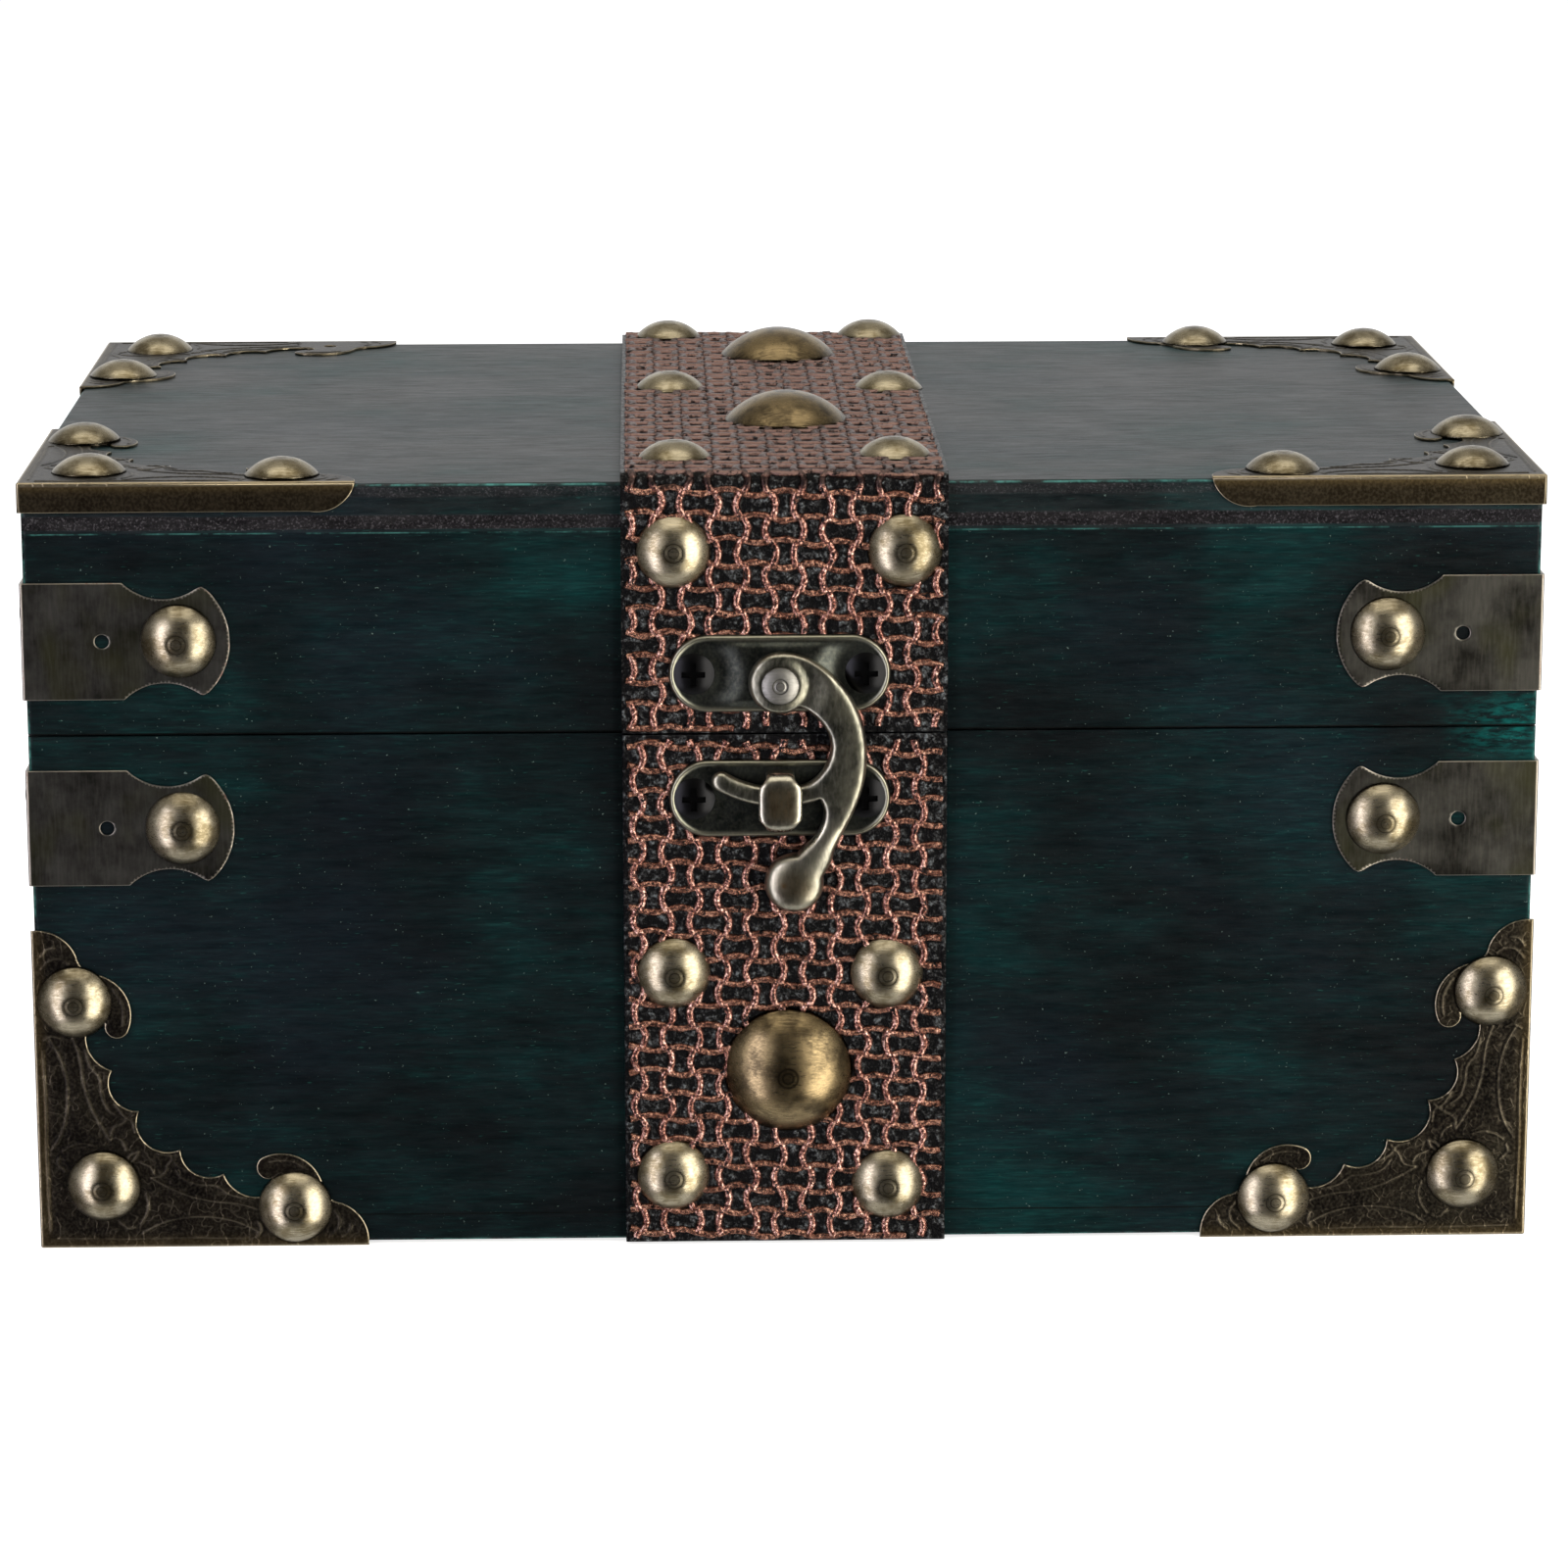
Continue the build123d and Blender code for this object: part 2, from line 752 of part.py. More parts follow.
def save_hinges():
    lid_leaf = hinge_leaf(1, (0,))
    body_leaf = hinge_leaf(-1, (-1, 1))
    pin = hinge_pin()
    for hand, x in (("left", -hinge_x), ("right", hinge_x)):
        place = Pos(x, hinge_axis_y, hinge_axis_z)
        save(f"lid_hinge_leaf_{hand}", place * lid_leaf)
        save(f"body_hinge_leaf_{hand}", place * body_leaf)
        save(f"hinge_pin_{hand}", place * pin)
    save("lid_hinge_screws", hinge_screws(1))
    save("body_hinge_screws", hinge_screws(-1))


save_boards()
save_corner_plates()
save_clips()
save_corner_nails()
save_clip_nails()
save_strap_nails()
save_straps()
save_latch()
save_hinges()
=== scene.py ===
# %% [markdown]
# # A small treasure chest, dressed for its photograph
#
# The chest is a stained wooden box with a flat lid. Brass plates cover its corners, brass clips
# hold its upright edges, dome nails pin them down, and a strap embossed like woven copper runs
# round the middle behind a swing latch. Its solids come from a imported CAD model, and this lesson
# gives each of them the surface that the real one has. Every size below is in metres, and most
# are written as a number of millimetres times MM.

import bmesh
import bpy
import numpy as np
from math import cos, pi, radians, sin
from mathutils import Matrix, Vector
from mathutils.geometry import delaunay_2d_cdt


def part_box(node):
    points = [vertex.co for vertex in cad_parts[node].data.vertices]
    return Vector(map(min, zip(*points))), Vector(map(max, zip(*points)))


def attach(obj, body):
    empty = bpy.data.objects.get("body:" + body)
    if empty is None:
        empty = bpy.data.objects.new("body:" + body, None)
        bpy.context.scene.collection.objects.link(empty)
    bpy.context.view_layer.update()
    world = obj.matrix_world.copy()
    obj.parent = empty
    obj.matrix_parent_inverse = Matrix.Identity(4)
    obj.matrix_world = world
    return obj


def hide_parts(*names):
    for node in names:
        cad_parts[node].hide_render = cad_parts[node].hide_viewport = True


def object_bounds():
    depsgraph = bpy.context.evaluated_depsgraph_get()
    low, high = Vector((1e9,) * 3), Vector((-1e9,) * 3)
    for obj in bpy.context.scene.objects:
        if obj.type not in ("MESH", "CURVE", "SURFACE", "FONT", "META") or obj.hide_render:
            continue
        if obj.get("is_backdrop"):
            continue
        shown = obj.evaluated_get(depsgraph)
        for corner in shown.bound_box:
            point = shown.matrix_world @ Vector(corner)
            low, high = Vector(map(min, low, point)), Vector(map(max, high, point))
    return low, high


MM = 0.001
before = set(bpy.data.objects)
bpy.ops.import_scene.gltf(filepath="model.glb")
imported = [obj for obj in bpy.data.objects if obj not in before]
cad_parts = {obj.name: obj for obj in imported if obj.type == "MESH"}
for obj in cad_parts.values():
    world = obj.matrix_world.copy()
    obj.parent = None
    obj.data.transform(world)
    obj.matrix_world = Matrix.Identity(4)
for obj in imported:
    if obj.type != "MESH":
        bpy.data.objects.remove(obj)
cad_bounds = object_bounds()

# %% [markdown]
# Places are read from the solids, so nothing here has to be fitted by eye. The wood gives the
# box's outside, and the strap gives the level that the latch stands on.

# %% Where things are
lid_low, lid_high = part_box("lid_top_board")
base_low, base_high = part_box("body_bottom_board")
lid_front_low, lid_front_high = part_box("lid_front_board")
strap_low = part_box("body_strap_front")[0]
front_y, back_y = lid_low.y, lid_high.y
middle_y = (front_y + back_y) / 2
lid_foot = lid_front_low.z
lid_top = lid_high.z
box_foot = base_low.z
box_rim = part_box("body_front_board")[1].z
strap_thickness = front_y - strap_low.y
chest = lid_high - Vector((lid_low.x, lid_low.y, box_foot))
print("chest in mm", [round(v / MM, 1) for v in chest])


# %% [markdown]
# ## Helpers for colour and nodes
#
# Colours are picked on screen as sRGB hex values, but light is added up in linear values, so one
# function turns the first into the second. A second function adds a node with its settings and
# wires, which keeps a material readable as a list of steps.

# %% Colour and node helpers
def linear(hex_colour):
    """An sRGB hex value as linear red, green, blue and alpha."""
    shares = [int(hex_colour[i : i + 2], 16) / 255 for i in (1, 3, 5)]
    return (*[s / 12.92 if s <= 0.04045 else ((s + 0.055) / 1.055) ** 2.4 for s in shares], 1.0)


MATH, MIX, RANGE = "ShaderNodeMath", "ShaderNodeMix", "ShaderNodeMapRange"
NOISE, VECTOR, RAMP = "ShaderNodeTexNoise", "ShaderNodeVectorMath", "ShaderNodeValToRGB"
SPLIT, JOIN = "ShaderNodeSeparateXYZ", "ShaderNodeCombineXYZ"
COORDS, ATTRIBUTE, BUMP = "ShaderNodeTexCoord", "ShaderNodeAttribute", "ShaderNodeBump"
GLOW, SURFACE, OUTPUT = (
    "ShaderNodeEmission", "ShaderNodeBsdfPrincipled", "ShaderNodeOutputMaterial"
)


def add(tree, kind, inputs=(), **settings):
    """Adds a node, sets or wires its inputs, and gives back its outputs.

    The inputs are a tuple in the node's own order, or a dictionary of names or numbers. The
    setting stops holds the places and colours, or grey numbers, of a colour ramp. A mix node
    has its share as input 0, its numbers as 2 and 3 and its colours as 6 and 7.
    """
    node = tree.nodes.new(kind)
    for number, (at, tone) in enumerate(settings.pop("stops", ())):
        elements = node.color_ramp.elements
        stop = elements[number] if number < 2 else elements.new(at)
        stop.position = at
        stop.color = linear(tone) if isinstance(tone, str) else (tone, tone, tone, 1)
    for name, value in settings.items():
        setattr(node, name, value)
    for key, value in inputs.items() if isinstance(inputs, dict) else enumerate(inputs):
        if isinstance(value, bpy.types.NodeSocket):
            tree.links.new(value, node.inputs[key])
        elif value is not None:
            node.inputs[key].default_value = value
    return node.outputs


def new_material(name):
    """An empty node material and its tree."""
    material = bpy.data.materials.new(name)
    material.use_nodes = True
    material.node_tree.nodes.clear()
    return material, material.node_tree


print("teal stain in linear values:", [round(c, 4) for c in linear("#123030")])


# %% [markdown]
# ## Camera
#
# The photograph was taken from the front, a little above and to the left, with a long lens. The
# corners of the chest in the picture gave the place: 0.87 m in front of the box's middle and
# 0.26 m up, looking 13 degrees down. The lens stays unshifted, so that the other views of the
# chest are centred too.

# %% Camera
def shown(name, data):
    """A new object of the scene, made of a mesh, a lamp or a camera."""
    thing = bpy.data.objects.new(name, data)
    bpy.context.collection.objects.link(thing)
    return thing


camera_at = Vector((-21.27, -871.16, 257.98)) * MM
camera_down, camera_turn, camera_roll = radians(13.016), radians(1.515), radians(-0.074)
forward = Vector(
    (sin(camera_turn) * cos(camera_down), cos(camera_turn) * cos(camera_down), -sin(camera_down))
)
right = Vector((cos(camera_turn), -sin(camera_turn), 0))
up = right.cross(forward)
right_rolled = right * cos(camera_roll) + up * sin(camera_roll)
up_rolled = up * cos(camera_roll) - right * sin(camera_roll)
lens = bpy.data.cameras.new("camera")
lens.sensor_width = 36
lens.lens = 123.49
lens.clip_end = 100
camera = shown("camera", lens)
turned = Matrix((right_rolled, up_rolled, -forward)).transposed().to_4x4()
camera.matrix_world = Matrix.Translation(camera_at) @ turned
bpy.context.scene.camera = camera
bpy.context.scene.view_settings.view_transform = "Standard"
print("camera", [round(v, 3) for v in camera_at], "lens", lens.lens)


# %% [markdown]
# ## Studio
#
# The domes in the photograph show two tall, soft highlights, one on each side, with a dark band
# between them. That is a studio with a tall lamp on the left, a wider one on the right and
# nothing bright behind the camera. A metal mirrors what it can see, so what it sees is built
# apart from what lights the wood: softboxes give the light, and cards that only reflections see
# give the highlights and the dark band. The highlights reach well below the middle of each dome,
# so the cards go on below the table, as lamps beside a table do, and the floor is left out of
# reflections. Below the table's edge a dark skirt closes the room, which gives every dome its
# dark lower rim. A dark flag on each side darkens the domes' outer rims in the same way.
#
# The nails on the lid stand upright and mirror the ceiling. Under an even white one they would
# look like clay. A dim ceiling with one bright sheet over the table makes their tops dark and
# their lower fronts golden. Between flags and ceiling the world shows white.

# %% Softboxes
def softbox(name, place, aim, width, height, watts, colour="#ffffff"):
    """A rectangular lamp that faces a point and isn't mirrored."""
    lamp = bpy.data.lights.new(name, "AREA")
    lamp.shape = "RECTANGLE"
    lamp.size, lamp.size_y = width, height
    lamp.energy = watts
    lamp.color = linear(colour)[:3]
    holder = shown(name, lamp)
    holder.location = place
    holder.rotation_euler = (Vector(aim) - Vector(place)).to_track_quat("-Z", "Y").to_euler()
    holder.visible_glossy = False


centre = (0, 0, 0.06)
softbox("left_softbox", (-0.80, -0.72, 0.46), centre, 0.40, 0.95, 6.0, "#fff8ee")
softbox("right_softbox", (0.82, -0.74, 0.46), centre, 0.60, 0.95, 8.5, "#fff8ee")
softbox("top_softbox", (0, -0.10, 1.20), centre, 1.0, 0.7, 3.0)
softbox("back_left_softbox", (-0.75, 0.70, 0.95), centre, 0.5, 0.5, 2.5)
softbox("back_right_softbox", (0.75, 0.70, 0.95), centre, 0.5, 0.5, 2.5)
print("lamps:", len(bpy.data.lights))


# %% A card that only reflections see
def flat_card(name, corners, material):
    """A single rectangle of the studio."""
    mesh = bpy.data.meshes.new(name)
    mesh.from_pydata(corners, [], [range(len(corners))])
    mesh.materials.append(material)
    card = shown(name, mesh)
    card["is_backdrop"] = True
    return card


def mirrored_card(name, turn, distance, width, low, high, colour, strength):
    """An upright card at a bearing from the chest's front, seen by reflections alone."""
    glow, tree = new_material(name)
    light = add(tree, GLOW, (linear(colour), strength))
    add(tree, OUTPUT, (light[0],))
    glow.cycles.emission_sampling = "NONE"
    bearing = radians(turn)
    middle = Vector((sin(bearing), -cos(bearing), 0)) * distance
    side = Vector((cos(bearing), sin(bearing), 0)) * width / 2
    sides = ((-side, low), (side, low), (side, high), (-side, high))
    corners = [(*(middle + out).xy, z) for out, z in sides]
    card = flat_card(name, corners, glow)
    card.visible_camera = False
    card.visible_diffuse = False
    card.visible_shadow = False
    return card


print("card helper ready")

# %% Cards in place
mirrored_card("dark_card_front", 0, 1.30, 1.15, -1.6, 1.6, "#ffffff", 0.06)
for turn in (0, 90, 180, 270):
    mirrored_card(f"dark_skirt_{turn}", turn, 1.6, 3.2, -2.6, -0.04, "#fff6e8", 0.16)
for side, turn in (("left", -92), ("right", 92)):
    mirrored_card(f"dark_flag_{side}", turn, 1.5, 1.3, -0.04, 1.2, "#ffffff", 0.22)
mirrored_card("left_reflector", -46, 1.05, 0.34, -1.0, 0.78, "#f4f0ff", 5.4)
mirrored_card("right_reflector", 45, 1.05, 0.62, -1.0, 0.78, "#fffaf0", 5.7)
# Two cards are laid down overhead: a dim ceiling, and under it a bright sheet
lay_down = Matrix.Rotation(radians(-90), 4, "X")
for name, size, start, level, strength in (
    ("dim_ceiling", 6.0, -3.0, 2.2, 0.50),
    ("overhead_reflector", 1.2, -0.9, 1.3, 2.3),
):
    overhead = mirrored_card(name, 0, 0.0, size, 0.0, size, "#fff8ea", strength)
    overhead.data.transform(Matrix.Translation((0, start, level)) @ lay_down)
print("studio cards ready")

# %% [markdown]
# The world is a pale grey room that fills the shadows, and white to whoever looks at it, straight
# or by a reflection. The floor is a pale sheet. A part of its white is added only where it is
# looked at, so the sheet looks like studio paper and still keeps the chest's shadow.

# %% World and floor
def looked_at(tree):
    """1 for a ray of the camera, a reflection or clear glass, and 0 for one that brings light."""
    ray = add(tree, "ShaderNodeLightPath")
    seen = ray["Is Camera Ray"]
    for kind in ("Is Glossy Ray", "Is Transmission Ray"):
        seen = add(tree, MATH, (seen, ray[kind]), operation="MAXIMUM")[0]
    return seen


world = bpy.data.worlds.new("studio_room")
bpy.context.scene.world = world
world.use_nodes = True
tree = world.node_tree
tree.nodes.clear()
fill = add(tree, "ShaderNodeBackground", (linear("#f4f6f8"), 0.35))
white = add(tree, "ShaderNodeBackground", (linear("#ffffff"), 1.0))
room = add(tree, "ShaderNodeMixShader", (looked_at(tree), fill[0], white[0]))
add(tree, "ShaderNodeOutputWorld", (room[0],))

floor_white, tree = new_material("white_studio_paper")
paper = add(tree, "ShaderNodeBsdfDiffuse", (linear("#e6e6e6"),))
glow = add(tree, GLOW, (linear("#ffffff"), 0.75))
dark = add(tree, GLOW, (linear("#000000"), 0.0))
added = add(tree, "ShaderNodeMixShader", (looked_at(tree), dark[0], glow[0]))
both = add(tree, "ShaderNodeAddShader", (paper[0], added[0]))
add(tree, OUTPUT, (both[0],))
reach = 12
floor_corners = [(-reach, -reach, 0), (reach, -reach, 0), (reach, reach, 0), (-reach, reach, 0)]
flat_card("floor", floor_corners, floor_white).visible_glossy = False
print("floor and world ready")


# %% [markdown]
# ## Stained wood
#
# The boards are light, open-grained plywood under a dark blue-green stain. The stain sits deeper
# in some places than in others, so broad clouds of teal show through a near-black ground. Fine
# streaks follow the grain, pores catch a little light, and the eased edges are lighter, partly
# rubbed and partly a painted highlight. A noise texture gives each of them at its own size,
# stretched along one axis. The grain runs along the width on the long boards and along the depth
# on the side boards, so the function takes the stretch as an argument. A thin line of painted
# shade darkens the split under the lid and the joint above the bottom board.

# %% Drawn-out noise, layers of colour and lines
def drawn_noise(tree, place, sizes_mm, detail, rough):
    """Noise with its own size along each axis, such as streaks along the grain."""
    scale = [1 / (size * MM) for size in sizes_mm]
    moved = add(tree, "ShaderNodeMapping", {"Vector": place["Object"], "Scale": scale})
    settings = {"Vector": moved[0], "Scale": 1.0, "Detail": detail, "Roughness": rough}
    return add(tree, NOISE, settings)["Fac"]


def layered(tree, colour, layers):
    """Lays tones over a colour, each by a share that goes from least to most over a range."""
    for value, low, high, least, most, tone in layers:
        share = add(tree, RANGE, (value, low, high, least, most))[0]
        colour = add(tree, MIX, {0: share, 6: colour, 7: linear(tone)}, data_type="RGBA")[2]
    return colour


def near_level(tree, value, level, far, near, most=1.0):
    """A share of most where a value is near a level, and 0 where it is far from it."""
    off = add(tree, MATH, (value, level), operation="SUBTRACT")[0]
    off = add(tree, MATH, (off,), operation="ABSOLUTE")[0]
    return add(tree, RANGE, (off, far, near, 0.0, most))[0]


print("noise, layers and lines ready")


# %% Stained wood
def stained_wood(
    name, along, gloss=0.075, ply_top=None, rubbed_and_highlit_level=None, painted_shade_level=None, split_end=None
):
    """Dark teal stain over plywood, with the grain along axis 0 (width) or 1 (depth)."""
    material, tree = new_material(name)
    place = add(tree, COORDS)

    def grain(long_mm, fine_mm, detail, rough):
        """Noise drawn out along the grain."""
        sizes = [fine_mm] * 3
        sizes[along] = long_mm
        return drawn_noise(tree, place, sizes, detail, rough)

    clouds = grain(34, 27, 3.0, 0.55)
    cool = grain(48, 36, 2.0, 0.5)
    bands = grain(24, 5.0, 4.0, 0.62)
    streaks = grain(3.6, 0.34, 3.0, 0.6)
    dashes = grain(1.9, 0.26, 2.0, 0.5)
    dust = grain(0.5, 0.42, 2.0, 0.5)
    weighed = add(tree, MATH, (clouds, 0.70), operation="MULTIPLY")[0]
    stain = add(tree, MATH, (bands, 0.30, weighed), operation="MULTIPLY_ADD")[0]
    stops = ((0.40, "#090e10"), (0.70, "#0b2c2d"), (0.52, "#0b1719"))
    colour = add(tree, RAMP, (stain,), stops=stops)[0]
    strong = add(tree, RANGE, (streaks, 0.54, 0.78))[0]
    wet = add(tree, RANGE, (stain, 0.44, 0.66, 0.06, 0.42))[0]
    teal_streaks = add(tree, MATH, (strong, wet), operation="MULTIPLY")[0]
    # Between the streaks of stain the pores stay nearly black, and some are dusty
    layers = (
        (cool, 0.50, 0.70, 0.0, 0.6, "#121b22"),
        (streaks, 0.30, 0.55, 0.4, 0.0, "#030405"),
        (teal_streaks, 0.0, 1.0, 0.0, 1.0, "#134a45"),
        (dashes, 0.70, 0.77, 0.0, 0.35, "#2b5f58"),
        (dust, 0.73, 0.79, 0.0, 0.55, "#80958f"),
    )
    colour = layered(tree, colour, layers)
    # An eased edge is where the surface turns away from all three axes. Its lighter teal is partly
    # rub and partly a painted highlight
    patches = add(tree, RANGE, (grain(5.0, 5.0, 4.0, 0.75), 0.42, 0.62))[0]
    facing = add(tree, VECTOR, (place["Normal"],), operation="ABSOLUTE")[0]
    split = add(tree, SPLIT, (facing,))
    larger = add(tree, MATH, (split[0], split[1]), operation="MAXIMUM")[0]
    larger = add(tree, MATH, (larger, split[2]), operation="MAXIMUM")[0]
    turned = add(tree, RANGE, (larger, 0.92, 0.78))[0]
    edge = add(tree, MATH, (turned, patches), operation="MULTIPLY")[0]
    spot = add(tree, SPLIT, (place["Object"],))
    line_far, line_near = 0.30 * MM, 0.12 * MM
    # Along the lid wall's top edge runs a lighter line, partly rub and partly a painted highlight
    if rubbed_and_highlit_level is not None:
        line = near_level(tree, spot[2], rubbed_and_highlit_level, line_far, line_near, 0.6)
        line = add(tree, MATH, (line, patches), operation="MULTIPLY")[0]
        edge = add(tree, MATH, (edge, line), operation="MAXIMUM")[0]
    edge = add(tree, MATH, (edge, 0.85), operation="MULTIPLY")[0]
    colour = add(tree, MIX, {0: edge, 6: colour, 7: linear("#4a8680")}, data_type="RGBA")[2]
    if split_end is not None:
        # Handling has rubbed the stain thin at the right end of the split
        share = near_level(tree, spot[2], split_end.z, 6.0 * MM, 2.0 * MM)
        outward = (spot[0], split_end.x - 15 * MM, split_end.x - 3 * MM, 0.0, 0.6)
        outward = add(tree, RANGE, outward)[0]
        share = add(tree, MATH, (share, outward), operation="MULTIPLY")[0]
        thin = add(tree, RANGE, (grain(3.0, 0.8, 4.0, 0.65), 0.44, 0.62))[0]
        share = add(tree, MATH, (share, thin), operation="MULTIPLY")[0]
        colour = add(tree, MIX, {0: share, 6: colour, 7: linear("#106b67")}, data_type="RGBA")[2]
    # Painted shade: a thin dark line along the split under the lid, and along the joint above the
    # bottom board
    if painted_shade_level is not None:
        share = near_level(tree, spot[2], painted_shade_level, line_far, line_near)
        colour = add(tree, MIX, {0: share, 6: colour, 7: linear("#030404")}, data_type="RGBA")[2]
    roughness = add(tree, RANGE, (stain, 0.36, 0.66, 0.42, 0.50))[0]
    height = add(tree, MATH, (dust, 0.6, streaks), operation="MULTIPLY_ADD")[0]
    height = add(tree, MATH, (height, dashes), operation="ADD")[0]
    if ply_top is not None:
        # Grey in the grain of the lid's top, on faces that look up, is dust and a painted sheen
        share = add(tree, RANGE, (grain(5.0, 0.5, 4.0, 0.7), 0.46, 0.72, 0.0, 0.4))[0]
        upward = add(tree, RANGE, (split[2], 0.7, 0.9))[0]
        share = add(tree, MATH, (share, upward), operation="MULTIPLY")[0]
        colour = add(tree, MIX, {0: share, 6: colour, 7: linear("#5f676c")}, data_type="RGBA")[2]
        colour, height, roughness = ply_bands(tree, place, ply_top, colour, height, roughness)
    bump = add(tree, BUMP, {"Height": height, "Strength": 0.4, "Distance": 0.10 * MM})
    look = {"Base Color": colour, "Roughness": roughness, "Normal": bump[0]}
    # The sheen changes along the grain, which shows most on the lid, seen at a low angle
    sheen = add(tree, RANGE, (grain(9, 1.3, 5.0, 0.75), 0.34, 0.66, 0.4 * gloss, 1.6 * gloss))[0]
    shader = add(tree, SURFACE, {**look, "Specular IOR Level": sheen})
    add(tree, OUTPUT, (shader[0],))
    return material


print("recipe for stained wood ready")


# %% [markdown]
# The lid's top board is plywood seen on edge: under the face ply comes a long-grained ply that
# took the teal stain, and under that a cross ply, cut across its fibres, which stays charcoal and
# rough. The bands are drawn by height, a little wavy, and only where the surface is upright.

# %% Plies on the edge of the top board
TOP_BOARD = 7.4 * MM


def ply_bands(tree, place, top, colour, height, roughness):
    """Changes a board's colour, bump height and roughness to plies on its upright faces."""
    level = add(tree, SPLIT, (place["Object"],))[2]
    upright = add(tree, SPLIT, (place["Normal"],))[2]
    upright = add(tree, MATH, (upright,), operation="ABSOLUTE")[0]
    upright = add(tree, MATH, (upright, 0.3), operation="LESS_THAN")[0]
    wavy = add(tree, NOISE, {"Vector": place["Object"], "Scale": 60.0, "Detail": 3.0})["Fac"]
    waves = 0.5 * MM
    drift = add(tree, MATH, (wavy, waves, level), operation="MULTIPLY_ADD")[0]
    down = add(tree, MATH, (top + waves / 2, drift), operation="SUBTRACT")[0]
    share = add(tree, MATH, (down, TOP_BOARD), operation="DIVIDE")[0]
    face_ply = ((0.0, 0.6), (0.95, 0.0), (0.26, 0.5), (0.30, 0.0))
    cross_ply = ((0.64, 0.0), (0.68, 1.0), (0.93, 1.0))
    cross = add(tree, RAMP, (share,), stops=face_ply + cross_ply)[0]
    cross = add(tree, MATH, (cross, upright), operation="MULTIPLY")[0]
    fibres = drawn_noise(tree, place, (0.36, 0.36, 0.36), 2.0, 0.7)
    stops = ((0.40, "#050506"), (0.74, "#504e52"), (0.56, "#171518"))
    charcoal = add(tree, RAMP, (fibres,), stops=stops)[0]
    colour = add(tree, MIX, {0: cross, 6: colour, 7: charcoal}, data_type="RGBA")[2]
    coarse = add(tree, MATH, (fibres, 3.0), operation="MULTIPLY")[0]
    height = add(tree, MIX, (cross, None, height, coarse), data_type="FLOAT")[0]
    roughness = add(tree, MIX, (cross, None, roughness, 0.8), data_type="FLOAT")[0]
    return colour, height, roughness


print("plies from", round(lid_top / MM, 1), "mm, and", round(TOP_BOARD / MM, 1), "mm down")

# %% The boards' finishes
split_end = Vector((lid_high.x, 0, lid_foot))
wood_long = stained_wood("teal_stained_wood_grain_along_width", 0, split_end=split_end)
wood_side = stained_wood("teal_stained_wood_grain_along_depth", 1, gloss=0.03)
wood_wall = stained_wood(
    "teal_stained_lid_wall", 0, rubbed_and_highlit_level=lid_front_high.z, painted_shade_level=lid_foot,
    split_end=split_end,
)
wood_bottom = stained_wood("teal_stained_bottom_board", 0, painted_shade_level=base_high.z)
wood_top = stained_wood("teal_stained_plywood_top", 0, gloss=0.19, ply_top=lid_top)


def dress(material, *nodes):
    """Gives CAD nodes a material."""
    for node in nodes:
        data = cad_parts[node].data
        data.materials.clear()
        data.materials.append(material)


for part in ("lid", "body"):
    dress(wood_long, f"{part}_front_board", f"{part}_back_board")
    dress(wood_side, f"{part}_left_board", f"{part}_right_board")
dress(wood_bottom, "body_bottom_board")
dress(wood_wall, "lid_front_board", "lid_back_board")
dress(wood_top, "lid_top_board")
print("boards dressed")
